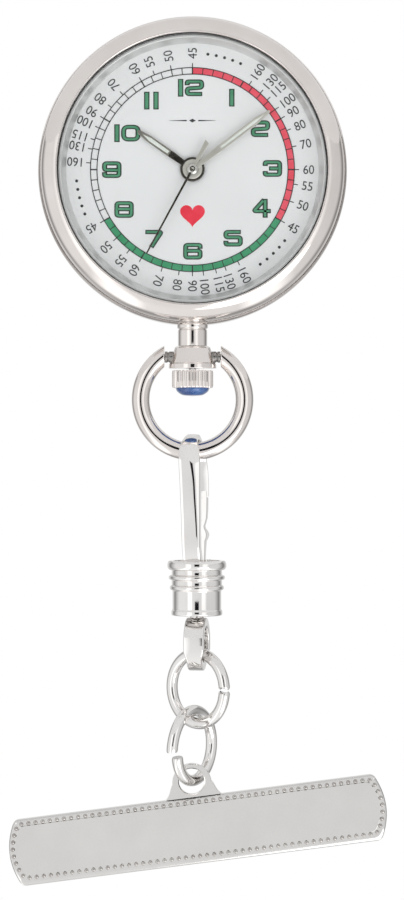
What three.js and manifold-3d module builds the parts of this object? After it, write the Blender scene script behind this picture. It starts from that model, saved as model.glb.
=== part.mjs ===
// Fob watch: a quartz watch head hanging upside down from a bow, a swivel hook, two jump rings and a
// bar brooch. Millimetres, +Z up, the dial faces -Y. The origin is the middle of the back face of the
// brooch's pin base, where the brooch lies against the cloth.
import * as THREE from 'three';
import { mergeVertices } from 'three/addons/utils/BufferGeometryUtils.js';
import Module from 'manifold-3d';

const wasm = await Module();
wasm.setup();

// ---- Driving dimensions ---------------------------------------------------------------------------

const RAD = Math.PI / 180;
const GAP = 0.03;                 // running gap between pieces that touch
const HANG_Y = -1.1;              // plane in which tab, rings, bow and pendant hang

const BROOCH = {
  tilt: 7.3 * RAD, length: 40.6, height: 7.17, straight: 37.2, corner: 0.6,
  back: -0.62, front: -2.2, edge: 0.6,
};
const TAB = { base: 2.95, half: 2.12, hole: { z: -5.29, r: 1.3 }, top: 2.1, thick: 0.9 };
const PIN_BASE = { length: 31, height: 3.2, thick: 0.6 };
const PIN = { y: 1.75, hingeX: -13.5, catchX: 13.5, r: 0.35, tip: 15.6, coil: 0.85 };
const CATCH = { inner: 0.6, roller: 1.05, bore: 1.09, outer: 1.55, length: 1.2, slot: 0.5 };

const WIRE = 0.62;                // jump ring wire radius
const LOWER_RING = { x: 0.52, z: -9.03, r: 3.73, turn: -58 * RAD, gapAt: 6, gapTo: 14 };
const UPPER_RING = { x: 0.0, z: -15.15, r: 3.765, turn: 42 * RAD, gapAt: 179, gapTo: 181 };

const CLASP = { x: 0.12, twist: 12 * RAD, top: -22.94, bottom: -28.83 };
const EYE = { top: -16.88, bottom: -22.72, depth: 5.5, band: 0.95, width: 2.0, endHalf: 0.78, stud: 0.75,
  turn: -6 * RAD };
const HOOK = { apex: -42.4, thick: 0.65, front: -2.75, back: 3.2, tip: -35.6, root: -28.5, apexHalf: 0.72 };
const GATE = { pivotY: 1.9, pivotZ: -27.6, end: -36.3, thick: 0.55, width: 1.15, knobZ: -31.5 };

const CASE = { x: 0.58, z: -70.4, radius: 16.5, bezel: 16.15, opening: 14.3 };
const BOW = { z: 24.35, r: 5.56, wire: 0.96, end: 3.0, pivotZ: 19.8 };
const PENDANT = { tube: 1.565, collarLow: 1.97, collarHigh: 2.65, from: 18.66, to: 21.04 };
const CROWN = { r: 2.2, from: 21.2, to: 23.15, flutes: 28, dome: 24.03, stone: 1.82 };

// Levels through the watch head, from its middle plane; the front is negative.
const LEVEL = {
  bezelFront: -4.75, crystalFront: -4.45, crystalBack: -3.65, seam: -2.0, back: 2.0, backDome: 3.95,
  dialFront: -2.55, dialBack: -2.2, hour: -2.98, minute: -3.2, second: -3.42, hand: 0.14,
  plateFront: -1.15, plateBack: -0.45, bridgeFront: 1.75, bridgeBack: 2.15,
};
const HAND = {
  hour: { angle: 305, length: 7.2, half: 0.37 },
  minute: { angle: 52.9, length: 10.35, half: 0.36 },
  second: { angle: 208.5, length: 10.2, half: 0.12, tail: 3.4 },
};

// Gear train: every wheel turns about Y. Places are from the middle of the dial.
const TRAIN_R = 3.06;             // third and intermediate arbors stand this far from the middle
const THIRD = { x: TRAIN_R * Math.cos(140 * RAD), z: TRAIN_R * Math.sin(140 * RAD) };
const INTERMEDIATE = { x: TRAIN_R * Math.cos(20 * RAD), z: TRAIN_R * Math.sin(20 * RAD) };
const ROTOR = { x: INTERMEDIATE.x + 2.1 * Math.cos(-30 * RAD), z: INTERMEDIATE.z + 2.1 * Math.sin(-30 * RAD) };
const MINUTE_WHEEL = { x: 2.4 * Math.cos(110 * RAD), z: 2.4 * Math.sin(110 * RAD) };
const BATTERY = { x: -5.0, z: -4.2, r: 3.4, thick: 2.1 };
const COIL = { x: 7.6, y: 0.92 };
const LEVER = { x: 2.2, z: 8.2 };
const MOVEMENT_R = 10.2;
const SCREWS = [[-7.6, 4.4], [7.6, 4.4], [1.5, -8.6]];

// ---- Materials ------------------------------------------------------------------------------------

function metal(color, roughness) {
  return new THREE.MeshStandardMaterial({ color, roughness, metalness: 1 });
}

function plastic(color, roughness) {
  return new THREE.MeshStandardMaterial({ color, roughness, metalness: 0 });
}

const NICKEL = metal(0xd8d2cc, 0.12);
const STEEL = metal(0xc4c6c8, 0.25);
const BRASS = metal(0xc9a35a, 0.3);
const COPPER = metal(0xb8693c, 0.35);
const WHITE = plastic(0xe4e5e7, 0.4);
const GLASS = plastic(0xf4f8fa, 0.02);
const BLUE = plastic(0x27468f, 0.08);
const BLACK = plastic(0x202224, 0.5);
const GREY = plastic(0x8b8e90, 0.5);
const GREEN = plastic(0x2f6b45, 0.5);

// ---- Solid helpers --------------------------------------------------------------------------------

function positionsOnly(geometry) {
  const bare = geometry.clone();
  bare.deleteAttribute('normal');
  bare.deleteAttribute('uv');
  return mergeVertices(bare, 1e-4);
}

function solidOf(geometry) {
  const merged = positionsOnly(geometry);
  const mesh = new wasm.Mesh({
    numProp: 3,
    vertProperties: new Float32Array(merged.attributes.position.array),
    triVerts: new Uint32Array(merged.index.array),
  });
  mesh.merge();
  return new wasm.Manifold(mesh);
}

function geometryOf(solid) {
  const mesh = solid.getMesh();
  const geometry = new THREE.BufferGeometry();
  geometry.setAttribute('position', new THREE.BufferAttribute(mesh.vertProperties, 3));
  geometry.setIndex(new THREE.BufferAttribute(mesh.triVerts, 1));
  return geometry;
}

function join(...geometries) {
  return geometryOf(geometries.map(solidOf).reduce((whole, next) => whole.add(next)));
}

function cut(geometry, ...tools) {
  return geometryOf(tools.map(solidOf).reduce((whole, tool) => whole.subtract(tool), solidOf(geometry)));
}

// A body of revolution about Y from the [radius, y] corners of half its section, in either order.
function turned(corners, segments = 40) {
  const points = corners.map(([r, y]) => new THREE.Vector2(r, y));
  if (THREE.ShapeUtils.area(points) < 0) points.reverse();
  if (points[0].x > 0) points.push(points[0].clone());
  return new THREE.LatheGeometry(points, segments);
}

function disc(r, from, to, segments = 32) {
  return turned([[0, from], [r, from], [r, to], [0, to]], segments);
}

function ring(inner, outer, from, to, segments = 40) {
  return turned([[inner, from], [outer, from], [outer, to], [inner, to]], segments);
}

function alongX(geometry) {
  return geometry.rotateZ(-Math.PI / 2);
}

function alongZ(geometry) {
  return geometry.rotateX(Math.PI / 2);
}

function block(sizeX, sizeY, sizeZ, x, y, z) {
  return new THREE.BoxGeometry(sizeX, sizeY, sizeZ).translate(x, y, z);
}

// A flat outline in X and Z, given thickness between two Y levels.
function plate(shape, from, to, curveSegments = 6) {
  const geometry = new THREE.ExtrudeGeometry(shape, { depth: to - from, bevelEnabled: false, curveSegments });
  return geometry.rotateX(Math.PI / 2).translate(0, to, 0);
}

function polygon(points) {
  return new THREE.Shape(points.map(([x, z]) => new THREE.Vector2(x, z)));
}

function gear(teeth, module, from, to, phase = 0) {
  const pitch = (teeth * module) / 2;
  const root = pitch - 1.15 * module;
  const tip = pitch + 0.9 * module;
  const step = (2 * Math.PI) / teeth;
  const points = [];
  for (let tooth = 0; tooth < teeth; tooth += 1) {
    const middle = phase + tooth * step;
    for (const [share, r] of [[-0.27, root], [-0.1, tip], [0.1, tip], [0.27, root]]) {
      points.push([r * Math.cos(middle + share * step), r * Math.sin(middle + share * step)]);
    }
  }
  return plate(polygon(points), from, to);
}

// Phase of a follower gear so that one of its gaps meets a tooth of the driver across the line of centres.
function meshPhase(driverTeeth, driverPhase, followerTeeth, direction) {
  const driverShare = ((direction - driverPhase) * driverTeeth) / (2 * Math.PI);
  return direction + Math.PI + ((driverShare + 0.5) * 2 * Math.PI) / followerTeeth;
}

function sweep(points, radius, sides, steps, closed = false) {
  const section = new THREE.Shape();
  for (let side = 0; side < sides; side += 1) {
    const angle = (2 * Math.PI * side) / sides;
    const x = radius * Math.cos(angle);
    const y = radius * Math.sin(angle);
    if (side === 0) section.moveTo(x, y);
    else section.lineTo(x, y);
  }
  section.closePath();
  const path = new THREE.CatmullRomCurve3(points, closed, 'centripetal');
  return new THREE.ExtrudeGeometry(section, { steps, extrudePath: path, bevelEnabled: false });
}

// A round wire bent along an arc in the XZ plane, with flat ends.
function wireArc(r, wire, fromDeg, toDeg, sides, steps) {
  const points = [];
  for (let step = 0; step <= steps; step += 1) {
    const angle = (fromDeg + ((toDeg - fromDeg) * step) / steps) * RAD;
    points.push(new THREE.Vector3(r * Math.cos(angle), 0, r * Math.sin(angle)));
  }
  return sweep(points, wire, sides, steps);
}

function add(group, name, geometry, material) {
  const mesh = new THREE.Mesh(geometry, material);
  mesh.name = name;
  group.add(mesh);
}

// ---- Brooch ---------------------------------------------------------------------------------------

function barShape() {
  const half = BROOCH.height / 2;
  const straight = BROOCH.straight / 2;
  const side = straight + BROOCH.corner;
  const bulge = BROOCH.length - side;
  const shape = new THREE.Shape();
  shape.moveTo(-straight, -half);
  shape.lineTo(straight, -half);
  shape.quadraticCurveTo(side, -half, side + 0.15, -half + BROOCH.corner);
  shape.quadraticCurveTo(bulge, 0, side + 0.15, half - BROOCH.corner);
  shape.quadraticCurveTo(side, half, straight, half);
  shape.lineTo(-straight, half);
  shape.quadraticCurveTo(-side, half, -side - 0.15, half - BROOCH.corner);
  shape.quadraticCurveTo(-bulge, 0, -side - 0.15, -half + BROOCH.corner);
  shape.quadraticCurveTo(-side, -half, -straight, -half);
  return shape;
}

function barPlate() {
  const shape = barShape();
  const body = new THREE.ExtrudeGeometry(shape, {
    depth: BROOCH.back - BROOCH.front - BROOCH.edge,
    bevelEnabled: true, bevelThickness: BROOCH.edge, bevelSize: BROOCH.edge, bevelOffset: -BROOCH.edge,
    bevelSegments: 2, curveSegments: 5,
  });
  body.rotateX(Math.PI / 2).translate(0, BROOCH.back, 0);
  const backCut = block(50, 2, 12, 0, BROOCH.back + 1, 0);
  return cut(body, backCut);
}

function tabPlate() {
  const shape = new THREE.Shape();
  const { base, half, hole, top, thick } = TAB;
  shape.moveTo(-base, -3.0);
  shape.lineTo(-base, -3.4);
  shape.quadraticCurveTo(-half - 0.1, -4.0, -half, hole.z + 0.15);
  shape.absarc(0, hole.z + 0.2, top, Math.PI, 2 * Math.PI, false);
  shape.quadraticCurveTo(half + 0.1, -4.0, base, -3.4);
  shape.lineTo(base, -3.0);
  shape.closePath();
  const body = plate(shape, HANG_Y - thick / 2, HANG_Y + thick / 2, 10);
  return cut(body, disc(hole.r, -3, 1, 24).translate(0, 0, hole.z));
}

function pinStem() {
  const length = PIN.tip - PIN.hingeX;
  const shaft = [[0, 0.3], [PIN.r, 0.3], [PIN.r, length - 2.4], [0.06, length], [0, length]];
  const stem = alongX(turned(shaft, 10)).translate(PIN.hingeX, 0, 0);
  const coil = alongZ(disc(PIN.coil, -0.4, 0.4, 16)).translate(PIN.hingeX, 0, 0);
  const bore = alongZ(disc(0.4, -1, 1, 12)).translate(PIN.hingeX, 0, 0);
  return cut(join(stem, coil), bore).translate(0, PIN.y, 0);
}

function hingeBracket() {
  const ears = [-0.75, 0.75].map((z) => {
    const shape = new THREE.Shape();
    shape.moveTo(-1, 0.03);
    shape.lineTo(1, 0.03);
    shape.absarc(0, PIN.y, 1, 0, Math.PI, false);
    const ear = new THREE.ExtrudeGeometry(shape, { depth: 0.5, bevelEnabled: false, curveSegments: 8 });
    return ear.translate(PIN.hingeX, 0, z - 0.25);
  });
  const foot = block(2.6, 0.35, 2.4, PIN.hingeX, 0.205, 0);
  const hole = alongZ(disc(0.36, -2, 2, 12)).translate(PIN.hingeX, PIN.y, 0);
  return cut(join(foot, ...ears), hole);
}

function catchHousing() {
  const shell = alongX(ring(CATCH.bore, CATCH.outer, -CATCH.length / 2, CATCH.length / 2, 24));
  shell.translate(PIN.catchX, PIN.y, 0);
  const slot = block(3, 3, 2 * CATCH.slot + 0.1, PIN.catchX, PIN.y + 1.5, 0);
  const foot = block(CATCH.length, 0.32, 2.0, PIN.catchX, 0.19, 0);
  return cut(join(shell, foot), slot);
}

function catchRoller() {
  const half = CATCH.length / 2 + 0.45;
  const tube = alongX(ring(CATCH.inner, CATCH.roller, -half, half, 20));
  const fin = block(0.35, 0.9, 0.3, half - 0.2, CATCH.roller + 0.25, 0).rotateX(62 * RAD);
  const slot = block(4, 3, 2 * CATCH.slot, 0, 1.5, 0);
  return cut(join(tube, fin), slot).translate(PIN.catchX, PIN.y, 0);
}

function makeBrooch() {
  const brooch = new THREE.Group();
  brooch.rotation.y = -BROOCH.tilt;
  add(brooch, 'brooch_plate', join(barPlate(), tabPlate()), NICKEL);
  add(brooch, 'pin_base', block(PIN_BASE.length, PIN_BASE.thick, PIN_BASE.height, 0, -PIN_BASE.thick / 2, 0), NICKEL);
  add(brooch, 'pin_hinge_bracket', hingeBracket(), NICKEL);
  add(brooch, 'pin_hinge_rivet', alongZ(disc(0.33, -1.25, 1.25, 12)).translate(PIN.hingeX, PIN.y, 0), STEEL);
  add(brooch, 'pin_stem', pinStem(), STEEL);
  add(brooch, 'catch_housing', catchHousing(), NICKEL);
  add(brooch, 'catch_roller', catchRoller(), NICKEL);
  return brooch;
}

// ---- Jump rings and clasp -------------------------------------------------------------------------

function jumpRing(ringSize) {
  const geometry = wireArc(ringSize.r, WIRE, ringSize.gapTo, ringSize.gapAt + 360, 8, 36);
  return geometry.rotateZ(ringSize.turn).translate(ringSize.x, HANG_Y, ringSize.z);
}

function stadium(depth, low, high) {
  const r = depth / 2;
  const shape = new THREE.Shape();
  shape.absarc(0, high - r, r, 0, Math.PI, false);
  shape.absarc(0, low + r, r, Math.PI, 2 * Math.PI, false);
  return shape;
}

// A flat loop standing in the YZ plane, width across X.
function standing(shape, width) {
  const geometry = new THREE.ExtrudeGeometry(shape, { depth: width, bevelEnabled: false, curveSegments: 9 });
  return geometry.rotateX(Math.PI / 2).rotateZ(Math.PI / 2).translate(-width / 2, 0, 0);
}

function swivelEye() {
  const outer = standing(stadium(EYE.depth, EYE.bottom, EYE.top), EYE.width);
  const hollow = stadium(EYE.depth - 2 * EYE.band, EYE.bottom + EYE.band, EYE.top - EYE.band);
  const stud = alongZ(turned([[0, 0], [EYE.stud, 0], [EYE.stud, 3.42], [1.35, 3.42], [1.35, 3.9], [0, 3.9]], 16));
  const post = stud.rotateX(Math.PI).translate(0, 0, EYE.bottom + 0.2);
  const endTrim = [[EYE.endHalf, 0], [1.3, 0], [1.3, EYE.top - 2.2], [EYE.width / 2, EYE.top - 2.2],
    [EYE.endHalf, EYE.top - 1.4]];
  const trim = [-1, 1].map((side) => sideBlock(endTrim, side, -4, 4));
  return join(cut(outer, standing(hollow, EYE.width + 1), ...trim), post).rotateZ(EYE.turn);
}

function collar() {
  const { top, bottom } = CLASP;
  const from = bottom;
  const profile = [
    [2.55, from], [3.05, from], [3.17, from + 0.3], [3.17, from + 0.7], [3.0, from + 0.95],
    [2.73, from + 1.0], [2.73, from + 1.5], [3.02, from + 1.65], [3.02, from + 1.95], [2.73, from + 2.1],
    [2.73, from + 2.6], [2.91, from + 2.75], [2.91, from + 3.05], [2.7, from + 3.2],
    [2.6, top - 0.7], [2.76, top - 0.5], [2.76, top - 0.15], [2.6, top],
    [EYE.stud + GAP, top], [EYE.stud + GAP, top - 2.95], [2.55, top - 2.95],
  ];
  return alongZ(turned(profile, 24));
}

function hookBody() {
  const { apex, thick, front, back, tip, root, apexHalf } = HOOK;
  const middle = apex + thick / 2;
  const outline = new THREE.Shape();
  outline.moveTo(front + 0.7, root + 1.5);
  outline.lineTo(front + 0.65, root);
  outline.lineTo(front - 0.55, root - 3);
  outline.quadraticCurveTo(front - 1.0, middle + 3.4, -2.6, middle + 1.1);
  outline.quadraticCurveTo(-1.5, apex, 0, apex);
  outline.quadraticCurveTo(2.6, apex, back + 0.35, middle + 2.6);
  outline.lineTo(back + 0.35, tip);
  outline.lineTo(back - 0.4, tip);
  outline.lineTo(back - 0.45, middle + 2.8);
  outline.quadraticCurveTo(2.0, apex + thick, 0, apex + thick);
  outline.quadraticCurveTo(-1.2, apex + thick, -1.9, middle + 1.7);
  outline.quadraticCurveTo(front + 0.45, middle + 3.4, front + 0.55, root - 3);
  outline.lineTo(front + 1.6, root);
  outline.lineTo(front + 1.6, root + 1.5);
  outline.closePath();
  const blank = standing(outline, 2.3);
  const backTrim = [[0.62, tip + 3], [1.3, tip + 3], [1.3, apex - 1], [0.62, apex - 1]];
  const frontTrim = [[0.8, root + 2], [1.3, root + 2], [1.3, apex - 1], [apexHalf, apex - 1], [apexHalf, apex + 0.9],
    [1.15, apex + 3.5]];
  const trim = [-1, 1].flatMap((side) => [sideBlock(backTrim, side, 0.4, 5), sideBlock(frontTrim, side, -5, 0.5)]);
  const plug = alongZ(disc(2.5, 0, 1.5, 24)).translate(0, 0, root);
  const slot = block(1.35, 3, 4, 0, 2.15, root + 0.7);
  const pinHole = alongX(disc(0.32, -3, 3, 10)).translate(0, GATE.pivotY, GATE.pivotZ);
  return cut(join(cut(blank, ...trim), plug), slot, pinHole);
}

// A block with [x, z] corners on one side of the hook, between two levels of depth.
function sideBlock(corners, side, from, to) {
  const placed = corners.map(([x, z]) => [side * x, z]);
  return plate(polygon(placed), from, to);
}

function gate() {
  const { pivotY, pivotZ, end, thick, width, knobZ } = GATE;
  const outline = new THREE.Shape();
  outline.moveTo(pivotY - 0.45, pivotZ + 0.55);
  outline.lineTo(pivotY - 0.45, pivotZ - 0.8);
  outline.lineTo(HOOK.back - 0.5 - thick, HOOK.tip + 1);
  outline.lineTo(HOOK.back - 0.5 - thick, end);
  outline.lineTo(HOOK.back - 0.5, end);
  outline.lineTo(HOOK.back - 0.5, HOOK.tip + 0.1);
  outline.lineTo(HOOK.back + 0.2, HOOK.tip + 0.1);
  outline.lineTo(HOOK.back + 0.05, knobZ - 0.7);
  outline.lineTo(HOOK.back + 0.75, knobZ);
  outline.lineTo(HOOK.back - 0.1, knobZ + 0.6);
  outline.lineTo(pivotY + 0.5, pivotZ - 0.8);
  outline.lineTo(pivotY + 0.45, pivotZ + 0.55);
  outline.closePath();
  const hole = alongX(disc(0.35, -2, 2, 10)).translate(0, pivotY, pivotZ);
  return cut(standing(outline, width), hole);
}

function gateSpring() {
  return block(1.1, 0.14, 1.2, 0, 0.8, HOOK.root + 0.75);
}

function makeClasp() {
  const clasp = new THREE.Group();
  clasp.position.set(CLASP.x, HANG_Y, 0);
  clasp.rotation.z = CLASP.twist;
  add(clasp, 'swivel_eye', swivelEye(), NICKEL);
  add(clasp, 'swivel_collar', collar(), NICKEL);
  add(clasp, 'hook_body', hookBody(), NICKEL);
  add(clasp, 'hook_gate', gate(), NICKEL);
  add(clasp, 'gate_pin', alongX(disc(0.28, -1.15, 1.15, 10)).translate(0, GATE.pivotY, GATE.pivotZ), STEEL);
  add(clasp, 'gate_spring', gateSpring(), STEEL);
  return clasp;
}

// ---- Watch head: case -----------------------------------------------------------------------------

function caseBody() {
  const { radius } = CASE;
  const { seam, back } = LEVEL;
  const body = turned([
    [14.35, seam], [radius - 0.45, seam], [radius - 0.1, seam + 0.5], [radius, seam + 1.4],
    [radius, back - 1.4], [radius - 0.3, back - 0.5], [radius - 0.9, back], [14.6, back],
    [14.6, back - 0.6], [14.35, back - 0.6],
  ], 40);
  const stemHole = alongZ(disc(0.7, 12, 18, 12));
  return cut(body, stemHole);
}

function bezel() {
  const { opening, bezel: outer } = CASE;
  const { bezelFront, seam, crystalBack } = LEVEL;
  return turned([
    [14.05 + GAP, crystalBack], [14.05 + GAP, crystalBack + 0.1], [14.3, seam - GAP],
    [outer, seam - GAP], [outer, seam - 0.7], [outer - 0.2, bezelFront + 1.3], [outer - 0.75, bezelFront + 0.5],
    [opening + 0.2, bezelFront], [opening, bezelFront + 0.25], [opening, crystalBack],
  ], 40);
}

function caseBack() {
  const { back, backDome } = LEVEL;
  return turned([
    [0, backDome - 0.8], [11.5, backDome - 1.0], [13.9, back - 0.3], [14.3, back - 0.3], [14.3, back + GAP],
    [15.55, back + GAP], [15.55, back + 0.5], [14.4, back + 1.2], [11.0, backDome], [0, backDome],
  ], 40);
}

function pendantTube() {
  const { tube, from } = PENDANT;
  const start = CASE.radius + 0.04;
  const flange = start + 0.55;
  return alongZ(turned([
    [0.75, from - GAP], [tube, from - GAP], [tube, flange], [tube + 0.1, flange], [tube + 0.1, start],
    [0.75, start],
  ], 24));
}

function pendantCollar() {
  const { collarLow, collarHigh, from, to } = PENDANT;
  const body = alongZ(turned([
    [0.75, to], [collarHigh, to], [collarHigh, to - 0.25], [collarLow, from], [0.75, from],
  ], 24));
  const bore = alongX(disc(0.36, -4, 4, 12)).translate(0, 0, BOW.pivotZ);
  return cut(body, bore);
}

function bowPivot(side) {
  const inner = 1.6;
  const corners = [[0, inner], [0.32, inner], [0.32, 2.56], [0.62, 2.56], [0.62, 2.95],
    [0.32, 2.95], [0.32, 3.9], [0, 3.9]];
  return alongX(turned(corners, 12)).rotateY(side < 0 ? Math.PI : 0).translate(0, 0, BOW.pivotZ);
}

function bow() {
  const gapHalf = Math.asin(BOW.end / BOW.r) / RAD;
  const arc = wireArc(BOW.r, BOW.wire, 270 + gapHalf - 6, 630 - gapHalf + 6, 8, 36).translate(0, 0, BOW.z);
  const gap = block(2 * BOW.end, 4, 4, 0, 0, BOW.z - BOW.r);
  const holes = alongX(disc(0.38, -4.1, 4.1, 12)).translate(0, 0, BOW.pivotZ);
  return cut(arc, gap, holes);
}

function crown() {
  const { r, from, to, flutes, stone } = CROWN;
  const points = [];
  for (let flute = 0; flute < flutes; flute += 1) {
    const angle = (2 * Math.PI * flute) / flutes;
    const step = Math.PI / flutes;
    points.push([r * Math.cos(angle), r * Math.sin(angle)]);
    points.push([(r - 0.16) * Math.cos(angle + step), (r - 0.16) * Math.sin(angle + step)]);
  }
  const body = new THREE.ExtrudeGeometry(polygon(points), { depth: to - from, bevelEnabled: false });
  body.translate(0, 0, from);
  const socket = alongZ(disc(0.45, from - 1, from + 1.1, 12));
  const seat = alongZ(disc(stone + GAP, to - 0.25, to + 1, 24));
  return cut(body, socket, seat);
}

function crownStone() {
  const { to, dome, stone } = CROWN;
  const base = to - 0.22;
  const rise = dome - base;
  const corners = [[0, base], [stone, base], [stone, base + 0.25]];
  for (const share of [0.4, 0.7, 0.9]) {
    corners.push([stone * Math.sqrt(1 - share * share), base + rise * share]);
  }
  corners.push([0, dome]);
  return alongZ(turned(corners, 24));
}

// ---- Watch head: dial and hands -------------------------------------------------------------------

function crystal() {
  const { crystalFront, crystalBack } = LEVEL;
  return turned([
    [0, crystalFront], [13.65, crystalFront], [13.85, crystalFront + 0.2], [13.85, crystalBack], [0, crystalBack],
  ], 40);
}

function crystalGasket() {
  return ring(13.98, 14.27, LEVEL.crystalFront + 0.15, LEVEL.crystalBack - GAP, 40);
}

function rehaut() {
  const { crystalBack, dialFront } = LEVEL;
  return turned([[13.45, dialFront - GAP], [14.0, crystalBack + GAP], [14.02, crystalBack + GAP],
    [14.02, dialFront - GAP]], 40);
}

function dial() {
  return ring(0.75, 13.9, LEVEL.dialFront, LEVEL.dialBack, 40);
}

function tapered(length, half, tailLength, tailHalf) {
  const tip = half * 0.45;
  return polygon([[-tailHalf, -tailLength], [tailHalf, -tailLength], [half * 0.9, 0], [half, length * 0.4],
    [tip, length], [-tip, length], [-half, length * 0.4], [-half * 0.9, 0]]);
}

// A hand drawn along +Z, turned so that it points clockwise from twelve, which hangs at -Z.
function hand(spec, level, hubRadius, bore, tailLength = 0.6, tailHalf = 0.3) {
  const blade = plate(tapered(spec.length, spec.half, tailLength, tailHalf), level, level + LEVEL.hand);
  const hub = disc(hubRadius, level - 0.02, level + LEVEL.hand, 20);
  const whole = cut(join(blade, hub), disc(bore, level - 1, level + 1, 12));
  return whole.rotateY(Math.PI + spec.angle * RAD);
}

function makeCase(head) {
  add(head, 'case_body', caseBody(), NICKEL);
  add(head, 'bezel', bezel(), NICKEL);
  add(head, 'case_back', caseBack(), NICKEL);
  add(head, 'back_gasket', ring(14.42, 14.55, LEVEL.back - 0.57, LEVEL.back - 0.05, 32), BLACK);
  add(head, 'crystal', crystal(), GLASS);
  add(head, 'crystal_gasket', crystalGasket(), BLACK);
  add(head, 'rehaut_ring', rehaut(), STEEL);
  add(head, 'dial', dial(), WHITE);
  add(head, 'pendant_tube', pendantTube(), NICKEL);
  add(head, 'pendant_collar', pendantCollar(), NICKEL);
  add(head, 'bow_pivot_left', bowPivot(-1), STEEL);
  add(head, 'bow_pivot_right', bowPivot(1), STEEL);
  add(head, 'bow', bow(), NICKEL);
  add(head, 'crown', crown(), NICKEL);
  add(head, 'crown_cabochon', crownStone(), BLUE);
}

// ---- Watch head: movement -------------------------------------------------------------------------

function pivotHole(place, from, to) {
  return disc(0.2, from, to, 8).translate(place.x, 0, place.z);
}

function mainPlate() {
  const { plateFront, plateBack, bridgeFront } = LEVEL;
  const posts = SCREWS.map(([x, z]) => disc(0.9, plateBack - 0.1, bridgeFront - GAP, 12).translate(x, 0, z));
  const minutePost = disc(0.21, plateFront - 0.95, plateFront + 0.1, 10).translate(MINUTE_WHEEL.x, 0, MINUTE_WHEEL.z);
  const whole = join(disc(MOVEMENT_R, plateFront, plateBack, 40), ...posts, minutePost);
  const stemGroove = block(1.5, 1.2, 6, 0, plateBack + 0.2, MOVEMENT_R - 1.2);
  return cut(whole, disc(0.75, -2, 1, 16), pivotHole(THIRD, -2, 1), stemGroove,
    ...SCREWS.map(([x, z]) => disc(0.36, 0.4, 3, 8).translate(x, 0, z)));
}

function trainBridge() {
  const { bridgeFront, bridgeBack } = LEVEL;
  const outline = polygon([[-8.8, 5.0], [-8.3, 3.0], [-3.9, -0.4], [0.2, -5.4], [0.2, -9.4], [2.8, -9.3], [3.4, -5.6],
    [6.4, -2.6], [8.9, 3.2], [8.4, 5.6], [3.4, 5.6], [-3.4, 5.6]]);
  const holes = [{ x: 0, z: 0 }, THIRD, INTERMEDIATE, ROTOR].map((place) => pivotHole(place, 1, 3));
  return cut(plate(outline, bridgeFront, bridgeBack), ...holes,
    ...SCREWS.map(([x, z]) => disc(0.45, 1, 3, 8).translate(x, 0, z)));
}

function screw(x, z) {
  const { bridgeBack } = LEVEL;
  const head = turned([[0, 0.8], [0.3, 0.8], [0.3, bridgeBack + GAP], [0.75, bridgeBack + GAP],
    [0.75, bridgeBack + 0.4], [0, bridgeBack + 0.4]], 12);
  return cut(head, block(2, 0.3, 0.2, 0, bridgeBack + 0.4, 0)).translate(x, 0, z);
}

function wheelPhases() {
  const third = meshPhase(6, 0, 45, 140 * RAD);
  const centre = meshPhase(6, third, 48, 320 * RAD);
  const minute = meshPhase(10, centre, 30, 110 * RAD);
  const hour = meshPhase(8, minute, 32, 290 * RAD);
  const intermediate = meshPhase(30, 0, 6, 20 * RAD);
  const rotor = meshPhase(36, intermediate, 6, -30 * RAD);
  return { second: 0, third, centre, minute, hour, intermediate, rotor };
}

function makeTrain(head) {
  const phase = wheelPhases();
  const second = join(
    disc(0.13, LEVEL.second + 0.05, 2.0, 10), gear(6, 0.12, 0.15, 0.5, 0), gear(30, 0.17, 0.8, 0.95, 0));
  add(head, 'second_wheel', second, BRASS);
  const third = join(disc(0.15, -0.9, 2.0, 10), gear(6, 3.06 / 27, -0.35, -0.02, phase.third),
    gear(45, 0.12, 0.25, 0.4, phase.third));
  add(head, 'third_wheel', third.translate(THIRD.x, 0, THIRD.z), BRASS);
  const centre = join(disc(0.36, LEVEL.minute + 0.02, -0.05, 14), gear(10, 0.12, -1.68, -1.3, phase.centre),
    gear(48, 3.06 / 27, -0.32, -0.12, phase.centre));
  add(head, 'centre_wheel', cut(centre, disc(0.18, -4, 1, 10)), BRASS);
  const minute = join(gear(30, 0.12, -1.6, -1.4, phase.minute), gear(8, 0.12, -2.08, -1.5, phase.minute));
  add(head, 'minute_wheel', cut(minute, disc(0.25, -3, 0, 10)).translate(MINUTE_WHEEL.x, 0, MINUTE_WHEEL.z), BRASS);
  const hour = join(gear(32, 0.12, -2.05, -1.85, phase.hour), disc(0.62, LEVEL.hour + 0.02, -1.9, 16));
  add(head, 'hour_wheel', cut(hour, disc(0.41, -4, 0, 14)), BRASS);
  const intermediate = join(disc(0.15, 0.05, 2.0, 10), gear(6, 0.17, 0.72, 1.02, phase.intermediate),
    gear(36, 0.1, 1.3, 1.42, phase.intermediate));
  add(head, 'intermediate_wheel', intermediate.translate(INTERMEDIATE.x, 0, INTERMEDIATE.z), BRASS);
  const rotor = join(disc(0.12, -0.35, 2.0, 10), gear(6, 0.1, 1.24, 1.5, phase.rotor), disc(0.62, 0.1, 0.62, 16));
  add(head, 'rotor', rotor.translate(ROTOR.x, 0, ROTOR.z), STEEL);
  add(head, 'hour_hand', hand(HAND.hour, LEVEL.hour, 1.2, 0.64), STEEL);
  add(head, 'minute_hand', hand(HAND.minute, LEVEL.minute, 0.85, 0.38), STEEL);
  add(head, 'second_hand', hand(HAND.second, LEVEL.second, 0.53, 0.15, HAND.second.tail, 0.3), STEEL);
}

function stator() {
  const outline = polygon([[3.3, -1.4], [7.9, -1.4], [7.9, 1.2], [3.3, 1.2]]);
  return cut(plate(outline, 0.12, 0.6), disc(0.72, 0, 1, 16).translate(ROTOR.x, 0, ROTOR.z));
}

function coil() {
  return cut(block(1.7, 1.3, 3.6, COIL.x, COIL.y, -3.5), block(1.0, 0.6, 5, COIL.x, COIL.y, -3.5));
}

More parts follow.
